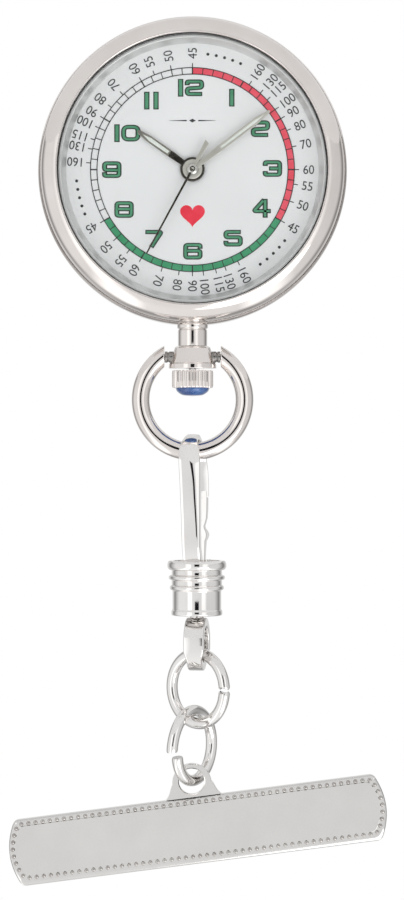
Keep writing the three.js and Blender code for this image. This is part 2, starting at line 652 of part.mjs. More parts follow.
function makeMovement(head) {
  const stemGap = block(2.4, 3, 8, 0, 0, 12);
  add(head, 'movement_ring', cut(ring(MOVEMENT_R + 0.08, 13.8, -2.15, 1.0, 40), stemGap), GREY);
  add(head, 'main_plate', mainPlate(), BRASS);
  add(head, 'train_bridge', trainBridge(), STEEL);
  SCREWS.forEach(([x, z], index) => add(head, `bridge_screw_${index + 1}`, screw(x, z), STEEL));
  makeTrain(head);
  const { x, z, r, thick } = BATTERY;
  add(head, 'battery', disc(r, -0.4, -0.4 + thick, 32).translate(x, 0, z), STEEL);
  add(head, 'battery_clamp', block(5.4, 0.2, 0.9, x, -0.4 + thick + 0.15, z - 0.8), STEEL);
  add(head, 'stator', stator(), STEEL);
  add(head, 'coil_core', block(0.9, 0.5, 6.6, COIL.x, COIL.y, -2.3), STEEL);
  add(head, 'coil', coil(), COPPER);
  add(head, 'circuit_board', block(3.6, 0.3, 2.4, -6.3, 1.4, 1.6), GREEN);
  add(head, 'crystal_can', alongX(disc(0.7, -2.2, 2.2, 12)).translate(-2.9, 0.35, 7.6), STEEL);
}

function settingLever() {
  const outline = polygon([[0.5, -0.25], [2.2, -0.55], [2.6, 0], [2.2, 0.55], [0.5, 0.25]]);
  const lever = plate(outline, -0.25, 0.05).translate(0, 0, LEVER.z);
  return cut(lever, disc(0.22, -1, 1, 8).translate(LEVER.x, 0, LEVER.z));
}

function makeKeyless(head) {
  const stem = join(alongZ(disc(0.4, 7.2, CROWN.from + 1.0, 12)), block(0.5, 0.5, 0.5, 0, 0, 7.1));
  add(head, 'stem', stem, STEEL);
  add(head, 'setting_lever', settingLever(), STEEL);
}

function makeHead() {
  const head = new THREE.Group();
  head.position.set(CASE.x, HANG_Y, CASE.z);
  makeCase(head);
  makeMovement(head);
  makeKeyless(head);
  return head;
}

// ---- Whole object ---------------------------------------------------------------------------------

const fobWatch = new THREE.Group();
fobWatch.add(makeBrooch());
add(fobWatch, 'jump_ring_lower', jumpRing(LOWER_RING), NICKEL);
add(fobWatch, 'jump_ring_upper', jumpRing(UPPER_RING), NICKEL);
fobWatch.add(makeClasp());
fobWatch.add(makeHead());

export default fobWatch;
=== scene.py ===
"""Looks of the fob watch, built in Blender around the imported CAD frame. Lengths here are in millimetres
and become metres when a mesh is made. The dial faces -Y and its twelve points down, as the watch hangs."""
from math import asin, cos, pi, radians, sin

import bmesh
import bpy
from mathutils import Matrix, Vector

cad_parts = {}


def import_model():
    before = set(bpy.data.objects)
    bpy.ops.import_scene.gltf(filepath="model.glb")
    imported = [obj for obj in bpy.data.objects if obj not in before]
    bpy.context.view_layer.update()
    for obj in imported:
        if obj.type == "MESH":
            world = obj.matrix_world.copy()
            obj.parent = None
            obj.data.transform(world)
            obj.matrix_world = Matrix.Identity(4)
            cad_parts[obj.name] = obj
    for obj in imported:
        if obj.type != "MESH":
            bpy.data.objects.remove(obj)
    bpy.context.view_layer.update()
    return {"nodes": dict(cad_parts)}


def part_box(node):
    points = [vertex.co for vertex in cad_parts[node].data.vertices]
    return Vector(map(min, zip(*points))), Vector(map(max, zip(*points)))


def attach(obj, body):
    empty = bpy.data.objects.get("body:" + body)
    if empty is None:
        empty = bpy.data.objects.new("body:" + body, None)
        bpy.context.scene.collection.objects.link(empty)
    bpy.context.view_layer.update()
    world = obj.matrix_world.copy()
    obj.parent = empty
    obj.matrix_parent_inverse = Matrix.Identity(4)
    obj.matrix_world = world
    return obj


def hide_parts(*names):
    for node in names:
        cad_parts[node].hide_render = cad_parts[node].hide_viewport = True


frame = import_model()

MM = 0.001

# ---- Places read from the frame ----


def low(node):
    return Vector(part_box(node)[0]) / MM


def high(node):
    return Vector(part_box(node)[1]) / MM


def middle(node):
    return (low(node) + high(node)) / 2


CASE = middle("case_body")
HANG_Y = middle("bow").y
PENDANT_X = middle("pendant_collar").x
DIAL_Y = low("dial").y
TILT = 7.3  # degrees, of the brooch against the chain
TWIST = 12  # degrees, of the clasp about the chain
EYE_TURN = -3.5  # degrees, of the eye against the clasp

# ---- Mesh helpers ----


def moved(bm, matrix):
    bmesh.ops.transform(bm, matrix=matrix, verts=bm.verts)
    return bm


def as_mesh(name, bm):
    mesh = bpy.data.meshes.new(name)
    bm.to_mesh(mesh)
    bm.free()
    return mesh


def linked(name, data):
    """A new object in the scene that shows a mesh or a curve, or holds a lamp or a camera."""
    holder = bpy.data.objects.new(name, data)
    bpy.context.scene.collection.objects.link(holder)
    return holder


def finish_mesh(name, bm, body, material, node=None, angle=35, place=None):
    """Turns a bmesh in millimetres into a named piece that rides on a body and can stand for a CAD node."""
    if place is not None:
        moved(bm, place)
    bmesh.ops.remove_doubles(bm, verts=bm.verts, dist=1e-5)
    bmesh.ops.recalc_face_normals(bm, faces=bm.faces)
    bmesh.ops.scale(bm, vec=(MM, MM, MM), verts=bm.verts)
    mesh = as_mesh(name, bm)
    mesh.shade_smooth()
    mesh.set_sharp_from_angle(angle=radians(angle))
    mesh.materials.append(material)
    piece = linked(name, mesh)
    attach(piece, body)
    if node:
        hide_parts(node)


def rounded(corners, radius, steps=4, closed=True):
    """Rounds each corner of a polyline. A corner may carry its own radius as third value."""
    result = []
    count = len(corners)
    for index, corner in enumerate(corners):
        point = Vector(corner[:2])
        if not closed and index in (0, count - 1):
            result.append(point)
            continue
        before = Vector(corners[index - 1][:2]) - point
        after = Vector(corners[(index + 1) % count][:2]) - point
        own = corner[2] if len(corner) > 2 else radius
        reach = min(own, before.length * 0.48, after.length * 0.48)
        if reach < 1e-4:
            result.append(point)
            continue
        start = point + before.normalized() * reach
        end = point + after.normalized() * reach
        for step in range(steps + 1):
            t = step / steps
            result.append(start * (1 - t) ** 2 + point * 2 * t * (1 - t) + end * t ** 2)
    return result


def neighbours(items, closed):
    """Each item with the next one; in a closed row the last is followed by the first."""
    following = items[1:] + items[:1] if closed else items[1:]
    return zip(items, following)


def lathe(corners, radius=0.08, segments=192, steps=4):
    """Mesh of revolution about Z from (radius, height) corners. A profile that starts on the axis stays open
    there; any other is closed."""
    on_axis = corners[0][0] == 0
    profile = rounded(corners, radius, steps, closed=not on_axis)
    bm = bmesh.new()
    rings = []
    for point in profile:
        if point.x < 1e-6:
            rings.append([bm.verts.new((0, 0, point.y))])
            continue
        circle = arc(point.x, 0, 2 * pi, segments)[:-1]
        rings.append([bm.verts.new((x, y, point.y)) for x, y in circle])
    for low_ring, high_ring in neighbours(rings, closed=not on_axis):
        for k in range(segments):
            n = (k + 1) % segments
            around = ((low_ring, k), (high_ring, k), (high_ring, n), (low_ring, n))
            face = list(dict.fromkeys(ring[index % len(ring)] for ring, index in around))
            if len(face) > 2:
                bm.faces.new(face)
    return bm


def at(x, y, z):
    return Matrix.Translation((x, y, z))


def turn(axis, degrees):
    return Matrix.Rotation(radians(degrees), 4, axis)


# These lay a Z axis along Y or X. The third swaps the axes: a drawing's x and y become y and z.
AXIS_Y = turn("X", -90)
AXIS_X = turn("Y", 90)
SIDEWAYS = Matrix(((0, 0, 1, 0), (1, 0, 0, 0), (0, 1, 0, 0), (0, 0, 0, 1)))


def upright(depth):
    """Stands a drawing made in XY on its lower edge, facing -Y, at the given depth."""
    return Matrix(((1, 0, 0, 0), (0, 0, -1, depth), (0, 1, 0, 0), (0, 0, 0, 1)))


def arc(radius, start, stop, count, x=0.0, y=0.0):
    """Points along an arc between two angles in radians, both ends included."""
    angles = [start + (stop - start) * k / count for k in range(count + 1)]
    return [(x + radius * cos(a), y + radius * sin(a)) for a in angles]


def extruded(outline, low_level, high_level, bevel=0.0, segments=2, holes=()):
    """Solid plate in the XY plane between two Z levels; a bevel above 0 rounds its rim."""
    bm = bmesh.new()
    edges = []
    for loop in [outline, *holes]:
        verts = [bm.verts.new((p[0], p[1], low_level)) for p in loop]
        edges += [bm.edges.new(pair) for pair in neighbours(verts, closed=True)]
    bmesh.ops.triangle_fill(bm, use_beauty=True, use_dissolve=False, edges=edges)
    bmesh.ops.dissolve_limit(bm, angle_limit=0.01, verts=bm.verts, edges=bm.edges)
    faces = list(bm.faces)
    grown = bmesh.ops.extrude_face_region(bm, geom=faces, use_keep_orig=True)
    top = [v for v in grown["geom"] if isinstance(v, bmesh.types.BMVert)]
    bmesh.ops.translate(bm, vec=(0, 0, high_level - low_level), verts=top)
    bmesh.ops.recalc_face_normals(bm, faces=bm.faces)
    if bevel:
        rim = [e for e in bm.edges if len(e.link_faces) == 2 and e.calc_face_angle(0) > 1.0]
        bmesh.ops.bevel(bm, geom=rim, offset=bevel, segments=segments, profile=0.5, affect="EDGES")
    return bm


def loft(stations, closed=False):
    """Skin over rings of points; every station is a list of the same number of points."""
    bm = bmesh.new()
    rings = [[bm.verts.new(p) for p in station] for station in stations]
    count = len(rings[0])
    for first, second in neighbours(rings, closed):
        for k in range(count):
            n = (k + 1) % count
            bm.faces.new((first[k], first[n], second[n], second[k]))
    if not closed:
        bm.faces.new(list(reversed(rings[0])))
        bm.faces.new(rings[-1])
    return bm


def merge(*parts):
    """One bmesh that holds the geometry of several."""
    whole = bmesh.new()
    for part in parts:
        mesh = as_mesh("scratch", part)
        whole.from_mesh(mesh)
        bpy.data.meshes.remove(mesh)
    return whole


def smooth_path(points, steps):
    """Catmull-Rom curve through the points, with the given number of steps between neighbours."""
    path = []
    for k in range(len(points) - 1):
        a = Vector(points[max(k - 1, 0)])
        b = Vector(points[k])
        c = Vector(points[k + 1])
        d = Vector(points[min(k + 2, len(points) - 1)])
        for step in range(steps):
            t = step / steps
            path.append(0.5 * (2 * b + (c - a) * t + (2 * a - 5 * b + 4 * c - d) * t * t
                               + (3 * b - a - 3 * c + d) * t ** 3))
    path.append(Vector(points[-1]))
    return path


# ---- Materials ----


def shader(name, color, metallic=0.0, roughness=0.4, **sockets):
    """A material whose constant values sit on its own shader's sockets."""
    material = bpy.data.materials.new(name)
    material.use_nodes = True
    bsdf = material.node_tree.nodes["Principled BSDF"]
    bsdf.inputs["Base Color"].default_value = (*color, 1)
    bsdf.inputs["Metallic"].default_value = metallic
    bsdf.inputs["Roughness"].default_value = roughness
    for socket, value in sockets.items():
        bsdf.inputs[socket.replace("_", " ")].default_value = value
    return material


def add_node(tree, kind, inputs=None, **settings):
    """A shader node. Each input is a constant or the output socket that feeds it."""
    made = tree.nodes.new(kind)
    for setting, value in settings.items():
        setattr(made, setting, value)
    for socket, value in (inputs or {}).items():
        if isinstance(value, bpy.types.NodeSocket):
            tree.links.new(value, made.inputs[socket])
        else:
            made.inputs[socket].default_value = value
    return made


def calculate(tree, operation, *values):
    return add_node(tree, "ShaderNodeMath", dict(enumerate(values)), operation=operation).outputs["Value"]


def ramp(tree, value, stops):
    """Colour as a smooth function of a value between 0 and 1; a stop is its position and its colour."""
    made = add_node(tree, "ShaderNodeValToRGB", {"Fac": value})
    elements = made.color_ramp.elements
    while len(elements) < len(stops):
        elements.new(0.5)
    for element, (position, color) in zip(elements, stops):
        element.position = position
        element.color = (*color, 1)
    return made.outputs["Color"]


def object_place(tree, **inputs):
    """Position on the object itself, in metres, after a mapping."""
    here = add_node(tree, "ShaderNodeTexCoord").outputs["Object"]
    return add_node(tree, "ShaderNodeMapping", {"Vector": here, **inputs}).outputs["Vector"]


def noise(material, scale, detail=3.0, stretch=(1, 1, 1)):
    """Noise in features per metre; stretch above 1 packs the features tighter along that axis."""
    tree = material.node_tree
    place = object_place(tree, Scale=stretch)
    return add_node(tree, "ShaderNodeTexNoise", {"Vector": place, "Scale": scale, "Detail": detail})


def feed(material, socket, output):
    """Lets an output drive one socket of the material's own shader."""
    tree = material.node_tree
    tree.links.new(output, tree.nodes["Principled BSDF"].inputs[socket])


def vary_roughness(material, texture, low_value, high_value):
    span = add_node(material.node_tree, "ShaderNodeMapRange", {
        "Value": texture.outputs["Fac"], "From Min": 0.3, "From Max": 0.7,
        "To Min": low_value, "To Max": high_value})
    feed(material, "Roughness", span.outputs["Result"])


def vary_color(material, texture, dark, light):
    color = ramp(material.node_tree, texture.outputs["Fac"], ((0.32, dark), (0.68, light)))
    feed(material, "Base Color", color)


RELIEF_DEPTH = 0.00002  # metres


def bump(material, texture, strength):
    relief = add_node(material.node_tree, "ShaderNodeBump", {
        "Strength": strength, "Distance": RELIEF_DEPTH, "Height": texture.outputs["Fac"]})
    feed(material, "Normal", relief.outputs["Normal"])


def worn_metal(name, dark, light, smooth, worn):
    """Metal with a faint change of tone and hazy patches of handling wear."""
    material = shader(name, light, metallic=1.0)
    vary_color(material, noise(material, 260), dark, light)
    vary_roughness(material, noise(material, 900, 6.0), smooth, worn)
    return material


def plated(name, dark, light, smooth, worn, grain=(1, 1, 1), relief=0.05):
    """Plating with very fine scratches; a long grain gives them a direction."""
    material = worn_metal(name, dark, light, smooth, worn)
    bump(material, noise(material, 5200, 2.0, grain), relief)
    return material


def turned_metal(name, dark, light, centre):
    """Metal with fine concentric tool marks around an axis that runs along Y through the centre."""
    material = worn_metal(name, dark, light, 0.17, 0.27)
    tree = material.node_tree
    place = object_place(tree, Location=-centre)
    marks = add_node(tree, "ShaderNodeTexWave", {
        "Vector": place, "Scale": 800, "Distortion": 1.5, "Detail": 2.0},
        wave_type="RINGS", rings_direction="Y")
    bump(material, marks, 0.25)
    return material


NICKEL = plated("nickel_polished", (0.745, 0.70, 0.675), (0.79, 0.75, 0.725), 0.05, 0.11)
# Darker copy of the bar's nickel for the pressed beads: painted shade that stands for the shaded sides of
# each small pearl, not a different metal.
NICKEL_BEAD_PAINTED_SHADE = plated("nickel_bead_painted_shade", (0.40, 0.38, 0.365), (0.52, 0.50, 0.48), 0.05, 0.12)
NICKEL_BAR = plated("nickel_bar", (0.70, 0.69, 0.675), (0.73, 0.72, 0.705), 0.09, 0.13, (0.15, 1, 1))
NICKEL_CHAIN = plated("nickel_chain", (0.79, 0.77, 0.755), (0.84, 0.825, 0.81), 0.04, 0.09, relief=0.02)
NICKEL_SATIN = plated("nickel_satin", (0.60, 0.58, 0.56), (0.68, 0.66, 0.64), 0.22, 0.34, (1, 1, 0.2), 0.12)
STEEL = plated("steel", (0.55, 0.55, 0.55), (0.66, 0.66, 0.66), 0.18, 0.30, (1, 1, 0.2), 0.12)
BACK_STEEL = turned_metal("back_steel", (0.70, 0.69, 0.675), (0.78, 0.77, 0.755), CASE * MM)
DARK_STEEL = plated("dark_steel", (0.24, 0.23, 0.22), (0.36, 0.35, 0.34), 0.2, 0.35)
HAND_POLISHED = plated("hand_polished", (0.56, 0.55, 0.52), (0.64, 0.63, 0.60), 0.06, 0.10)
# Near-black hand finish; on the second needle it is painted shade.
HAND_DARK = plated("hand_dark", (0.085, 0.08, 0.07), (0.13, 0.12, 0.105), 0.2, 0.3)
HAND_OLIVE = plated("hand_olive", (0.26, 0.25, 0.22), (0.34, 0.325, 0.29), 0.3, 0.4)
HAND_SATIN = plated("hand_satin", (0.60, 0.585, 0.53), (0.68, 0.665, 0.61), 0.34, 0.44)
REHAUT = plated("rehaut", (0.74, 0.74, 0.73), (0.82, 0.82, 0.81), 0.38, 0.46)
BRASS = plated("brass", (0.66, 0.48, 0.20), (0.78, 0.60, 0.30), 0.20, 0.32, (1, 1, 0.2), 0.10)
COPPER = plated("copper", (0.55, 0.22, 0.10), (0.72, 0.34, 0.18), 0.25, 0.40, (1, 1, 8), 0.6)


def coated(name, dark, light, smooth, rough, scale=700, relief=0.05, **sockets):
    """Lacquer, plastic or rubber with a slight mottle in tone and gloss."""
    material = shader(name, light, **sockets)
    vary_color(material, noise(material, scale), dark, light)
    vary_roughness(material, noise(material, scale * 2.3), smooth, rough)
    bump(material, noise(material, scale * 9), relief)
    return material


DIAL = coated("dial_lacquer", (0.865, 0.865, 0.87), (0.905, 0.905, 0.91), 0.28, 0.36, 90, 0.02)
INK_DARK = coated("ink_dark", (0.025, 0.028, 0.028), (0.045, 0.05, 0.05), 0.45, 0.6)
INK_RIM = coated("ink_rim", (0.018, 0.035, 0.025), (0.035, 0.055, 0.045), 0.45, 0.6)
INK_GREEN = coated("ink_green", (0.075, 0.29, 0.155), (0.10, 0.35, 0.195), 0.35, 0.5)
INK_TRACK_GREEN = coated("ink_track_green", (0.05, 0.33, 0.155), (0.085, 0.385, 0.20), 0.35, 0.5)
INK_RED = coated("ink_red", (0.86, 0.03, 0.06), (0.95, 0.06, 0.10), 0.35, 0.5)
INK_TRACK_RED = coated("ink_track_red", (0.84, 0.08, 0.12), (0.92, 0.12, 0.17), 0.35, 0.5)
LUME = coated("lume", (0.74, 0.78, 0.72), (0.84, 0.87, 0.82), 0.5, 0.7, 2400, 0.3)
RUBBER = coated("rubber", (0.012, 0.012, 0.012), (0.03, 0.03, 0.03), 0.5, 0.7)
GREY_PLASTIC = coated("grey_plastic", (0.30, 0.30, 0.30), (0.38, 0.38, 0.38), 0.4, 0.55)
BOARD = coated("board_green", (0.02, 0.11, 0.045), (0.04, 0.17, 0.07), 0.3, 0.5)
CABOCHON = coated("cabochon_blue", (0.01, 0.05, 0.20), (0.03, 0.12, 0.36), 0.02, 0.06, 500, 0.0,
                  Coat_Weight=1.0, Coat_Roughness=0.02)


def crystal_material():
    """Clear glass: see-through, with a mirror film that grows towards grazing angles."""
    material = bpy.data.materials.new("crystal_glass")
    material.use_nodes = True
    tree = material.node_tree
    tree.nodes.remove(tree.nodes["Principled BSDF"])
    clear = add_node(tree, "ShaderNodeBsdfTransparent", {"Color": (0.985, 0.99, 0.99, 1)})
    film = add_node(tree, "ShaderNodeBsdfGlossy", {"Roughness": 0.02})
    slant = add_node(tree, "ShaderNodeLayerWeight", {"Blend": 0.5})
    steep = calculate(tree, "POWER", slant.outputs["Facing"], 4)
    share = calculate(tree, "MULTIPLY_ADD", steep, 0.7, 0.02)
    blend = add_node(tree, "ShaderNodeMixShader", {
        "Fac": share, 1: clear.outputs["BSDF"], 2: film.outputs["BSDF"]})
    tree.links.new(blend.outputs["Shader"], tree.nodes["Material Output"].inputs["Surface"])
    return material


GLASS = crystal_material()

# ---- Watch case ----

HEAD = at(*CASE) @ AXIS_Y


def head_part(name, node, material, corners, steps=4, angle=35):
    """A part turned round the axis of the dial."""
    finish_mesh(name, lathe(corners, steps=steps), "head", material, node, angle, HEAD)


def watch_case():
    head_part("case_middle", "case_body", NICKEL, [
        (14.4, -1.97, 0.1), (16.08, -1.97, 0.03), (16.1, -1.5, 0.03), (16.24, -1.5, 0.03),
        (16.26, -1.9, 0.03), (16.45, -1.5, 0.3), (16.49, 0.0, 2.0), (16.42, 1.2, 0.6), (16.0, 1.97, 0.35),
        (14.62, 1.97, 0.1), (14.62, 1.4, 0.05), (14.4, 1.4, 0.05)], steps=6)
    head_part("bezel_ring", "bezel", NICKEL, [
        (14.28, -2.05, 0.1), (16.13, -2.05, 0.08), (16.15, -2.85, 0.5), (15.85, -3.8, 1.1), (15.0, -4.5, 1.3),
        (14.42, -4.73, 0.08), (14.3, -4.6, 0.08), (14.28, -4.3, 0.05)], steps=10, angle=50)
    head_part("back_cover", "case_back", BACK_STEEL, [
        (0, 3.15), (11.5, 3.0, 0.3), (13.9, 1.8, 0.3), (14.3, 1.8, 0.05), (14.3, 2.03, 0.02),
        (15.5, 2.03, 0.1), (15.52, 2.5, 0.25), (14.5, 3.15, 0.5), (11.4, 3.78, 0.6), (11.1, 3.66, 0.1),
        (10.9, 3.9, 0.15), (0, 3.95)])
    head_part("crystal_disc", "crystal", GLASS, [
        (0, -4.45), (14.05, -4.45, 0.12), (14.2, -4.3, 0.1), (14.2, -3.66, 0.05), (0, -3.66)])
    head_part("crystal_seal", "crystal_gasket", RUBBER, [
        (14.21, -4.28, 0.02), (14.27, -4.28, 0.02), (14.27, -3.68, 0.02), (14.21, -3.68, 0.02)])
    head_part("flange_ring", "rehaut_ring", REHAUT, [
        (13.4, -2.57, 0.02), (13.44, -2.72, 0.04), (13.9, -3.62, 0.06), (14.18, -3.64, 0.02),
        (14.18, -2.57, 0.02)])


def case_back_notch():
    """Opening lip at the edge of the snap-on back, where a case knife goes in."""
    bm = extruded([(-1.6, 15.25), (-1.2, 16.2), (1.2, 16.2), (1.6, 15.25)], 2.04, 2.32, 0.08, 3)
    finish_mesh("case_back_lip", bm, "head", BACK_STEEL, place=HEAD @ turn("Z", 40.107))


watch_case()
case_back_notch()

# ---- Pendant, bow and crown ----

PENDANT = at(PENDANT_X, HANG_Y, CASE.z)


def pendant():
    finish_mesh("pendant_neck", lathe([
        (0.76, 15.95, 0.02), (1.66, 15.95, 0.05), (1.66, 16.7, 0.1), (1.5, 16.8, 0.05), (1.5, 16.88, 0.03),
        (1.565, 16.95, 0.05), (1.565, 18.62, 0.03), (0.76, 18.62, 0.02)], segments=96),
        "head", NICKEL, "pendant_tube", place=PENDANT)
    finish_mesh("pendant_cone", lathe([
        (0.76, 18.66, 0.02), (1.86, 18.66, 0.25), (2.42, 20.45, 0.08), (2.52, 20.55, 0.06),
        (2.56, 21.03, 0.08), (0.76, 21.03, 0.02)], segments=96, steps=5),
        "head", NICKEL, "pendant_collar", place=PENDANT)


def bow_pivots():
    for side, node in ((-1, "bow_pivot_left"), (1, "bow_pivot_right")):
        place = PENDANT @ at(0, 0, 19.8) @ turn("Y", 90 * side)
        finish_mesh(node.replace("bow_", "bow_stud_"), lathe([
            (0, 2.05), (0.6, 2.05, 0.05), (0.6, 2.5, 0.04), (0.52, 2.56, 0.03), (0.52, 2.64, 0.03),
            (0.6, 2.7, 0.04), (0.6, 2.96, 0.05), (0.31, 2.97, 0.02), (0.31, 3.85, 0.05), (0, 3.85)],
            segments=48), "head", DARK_STEEL, node, place=place)


def circle_section(centre, across, up, radius, count):
    return [centre + across * u + up * v for u, v in arc(radius, 0, 2 * pi, count)[:-1]]


def bow_ring():
    """Open ring of round wire; its ends are cut flat and face the studs of the pendant."""
    radius, wire, cad_wire, end = 5.56, 0.955, 0.96, 3.02
    count = 140
    spare = 0.22  # radians of wire beyond each end, to be cut off
    start = asin(end / radius) - spare
    stations = []
    for k in range(count + 1):
        angle = -pi / 2 + start + (2 * pi - 2 * start) * k / count
        outward = Vector((cos(angle), 0, sin(angle)))
        stations.append(circle_section(outward * radius, outward, Vector((0, 1, 0)), wire, 32))
    bm = loft(stations)
    for side in (-1, 1):
        cut_flat(bm, side, end)
    rims = [e for e in bm.edges if len(e.link_faces) == 2 and e.calc_face_angle(0) > 0.9]
    bmesh.ops.bevel(bm, geom=rims, offset=0.06, segments=2, profile=0.5, affect="EDGES")
    centre_z = high("bow").z - radius - cad_wire
    finish_mesh("bow_wire", bm, "bow", NICKEL, "bow", place=at(PENDANT_X, HANG_Y, centre_z))


def cut_flat(bm, side, end):
    """Cuts one end of the bow off along an upright plane and closes it."""
    near = []
    for face in bm.faces:
        centre = face.calc_center_median()
        if centre.z < 0 and centre.x * side > 0:
            near.append(face)
    edges = {e for f in near for e in f.edges}
    verts = {v for f in near for v in f.verts}
    cut = bmesh.ops.bisect_plane(bm, geom=[*near, *edges, *verts], plane_co=(side * end, 0, 0),
                                 plane_no=(-side, 0, 0), clear_outer=True)
    rim = [e for e in cut["geom_cut"] if isinstance(e, bmesh.types.BMEdge)]
    bmesh.ops.holes_fill(bm, edges=rim)


pendant()
bow_pivots()
bow_ring()


def crown():
    radius, flutes, groove_depth = 2.2, 28, 0.15
    count = flutes * 12
    outline = []
    for k in range(count):
        angle = 2 * pi * k / count
        groove = (0.5 - 0.5 * cos(flutes * angle)) ** 2
        outline.append((radius - groove_depth * groove, angle))
    profile = [(0.8, 21.22), (0.97, 21.24), (1.0, 21.42), (1.0, 22.9), (0.97, 23.08), (0.86, 23.14)]
    stations = [[Vector((r * share * cos(a), r * share * sin(a), z)) for r, a in outline]
                for share, z in profile]
    finish_mesh("crown_body", loft(stations), "crown", NICKEL, "crown", angle=40, place=PENDANT)
    dome = [(0, 23.1), (1.79, 23.1, 0.02), (1.8, 23.22, 0.05), (1.68, 23.5, 0.3), (1.15, 23.9, 0.5),
            (0, 24.02)]
    finish_mesh("crown_stone", lathe(dome, segments=96, steps=6), "crown", CABOCHON,
                "crown_cabochon", angle=60, place=PENDANT)


crown()

# ---- Dial printing ----

# Dial drawings use u to the right and v towards twelve; both point the other way in the hanging watch.
FACE = Matrix(((-1, 0, 0, CASE.x), (0, 0, -1, DIAL_Y), (0, -1, 0, CASE.z), (0, 0, 0, 1)))
INK = 0.02


def clock(radius, degrees):
    """Point (u, v) at a clock angle, counted clockwise from twelve."""
    return Vector((radius * sin(radians(degrees)), radius * cos(radians(degrees)), 0))


def printed(name, bm, material):
    finish_mesh(name, bm, "head", material, angle=80, place=FACE)


def flat_ring(inner, outer, start, stop, level, steps=90):
    """A thin printed band between two clock angles."""
    whole = stop - start == 360
    corners = ((inner, level), (outer, level), (outer, level + INK), (inner, level + INK))
    stations = []
    for k in range(steps if whole else steps + 1):
        degrees = start + (stop - start) * k / steps
        stations.append([(*clock(r, degrees)[:2], z) for r, z in corners])
    return loft(stations, closed=whole)


def strip(centre, along, length, width, level):
    """A thin printed line."""
    along = Vector(along).normalized()
    across = Vector((-along.y, along.x, 0))
    corners = [centre + along * (length / 2 * a) + across * (width / 2 * b)
               for a, b in ((-1, -1), (1, -1), (1, 1), (-1, 1))]
    return extruded(corners, level, level + INK)


def lettering(text, size, stretch):
    """Solid figures in the built-in sans face, centred on the origin, ready to be turned and moved."""
    curve = bpy.data.curves.new("scratch_text", "FONT")
    curve.body = text
    curve.size = size
    curve.align_x = "CENTER"
    curve.align_y = "CENTER"
    curve.extrude = INK / 2
    curve.resolution_u = 6
    holder = linked("scratch_text", curve)
    bpy.context.view_layer.update()
    mesh = holder.to_mesh()
    bm = bmesh.new()
    bm.from_mesh(mesh)
    holder.to_mesh_clear()
    bpy.data.objects.remove(holder)
    bpy.data.curves.remove(curve)
    xs = [v.co.x for v in bm.verts]
    ys = [v.co.y for v in bm.verts]
    centre = Vector(((min(xs) + max(xs)) / 2, (min(ys) + max(ys)) / 2, -INK / 2))
    bmesh.ops.translate(bm, vec=-centre, verts=bm.verts)
    bmesh.ops.scale(bm, vec=(stretch, 1, 1), verts=bm.verts)
    return bm


def turned_to(bm, degrees, centre):
    return moved(bm, Matrix.Translation(centre) @ turn("Z", degrees))


TRACK_IN, TRACK_OUT = 10.13, 10.82
TRACK_LINE = 0.09
PULSE = (160, 130, 115, 100, 90, 80, 70, 60, 55, 50, 45)  # beats in a minute


def minute_track():
    half = TRACK_LINE / 2
    lines = [flat_ring(r - half, r + half, 0, 360, INK, 180) for r in (TRACK_IN, TRACK_OUT)]
    for minute in range(60):
        place = clock((TRACK_IN + TRACK_OUT) / 2, minute * 6)
        width = 0.085 if minute % 5 else 0.13
        lines.append(strip(place, place, TRACK_OUT - TRACK_IN, width, INK))
    printed("track_lines", merge(*lines), INK_DARK)
    printed("track_red", flat_ring(TRACK_IN, TRACK_OUT, 0, 120, 0.0), INK_TRACK_RED)
    printed("track_green", flat_ring(TRACK_IN, TRACK_OUT, 120, 240, 0.0), INK_TRACK_GREEN)


def pulse_scale():
    """Three scales of twenty seconds each; the pulse is read where fifteen beats have passed."""
    beats, spread = 15, 4.2
    tick_radius, number_radius, dot_radius = 11.06, 11.76, 12.35
    marks = []
    for start in (0, 20, 40):
        for rate in PULSE:
            degrees = 6 * (start + 60 * beats / rate)
            tick = clock(tick_radius, degrees)
            marks.append(strip(tick, tick, 0.48, 0.095, 0.0))
            number = lettering(str(rate), 1.34, 0.92)
            reach = max(v.co.x for v in number.verts)
            marks.append(turned_to(number, 90 - degrees, clock(number_radius + reach, degrees)))
        for step in range(5):
            dot = lathe([(0, 0), (0.16, 0), (0.16, INK), (0, INK)], 0, 16)
            marks.append(turned_to(dot, 0, clock(dot_radius, 6 * start + 7.6 + spread * step)))
    printed("pulse_scale", merge(*marks), INK_DARK)


def numeral_strokes(digit):
    """Centre lines of a squarish figure, as (points, closed) pairs; w and h are half its width and height."""
    w, h = 0.765, 0.66
    ring = [(-w, -h), (w, -h), (w, h), (-w, h)]
    tail = [(-w, h * 0.5), (-w, h), (w, h)]
    six = [(w, h * 0.5), (w, h), (-w, h), (-w, -h), (w, -h), (w, 0.05), (-w, 0.05)]
    return {
        "0": [([(*corner, 0.5) for corner in ring], True)],
        "1": [([(0, -h - 0.28), (0, h + 0.28)], False)],
        "2": [([*tail, (w, 0.02), (-w, -0.08), (-w, -h), (w, -h)], False)],
        "3": [([*tail, (w, -h), (-w, -h), (-w, -h * 0.5)], False), ([(-w * 0.4, 0), (w, 0)], False)],
        "4": [([(w * 0.35, h + 0.2), (-w, -0.3), (w + 0.2, -0.3)], False),
              ([(w * 0.55, h + 0.28), (w * 0.55, -h - 0.28)], False)],
        "5": [([(w, h), (-w, h), (-w, 0.1), (w, 0.1), (w, -h), (-w, -h), (-w, -h * 0.5)], False)],
        "6": [(six, False)],
        "7": [([(-w - 0.06, h), (w + 0.04, h), (-w * 0.3, -h - 0.24)], False)],
        "8": [(ring, True), ([(-w, 0.04), (w, 0.04)], False)],
        "9": [([(-x, -y) for x, y in six], False)],
    }[digit]


THIN_BARS = 0.84  # level strokes of a figure are this much thinner than upright ones


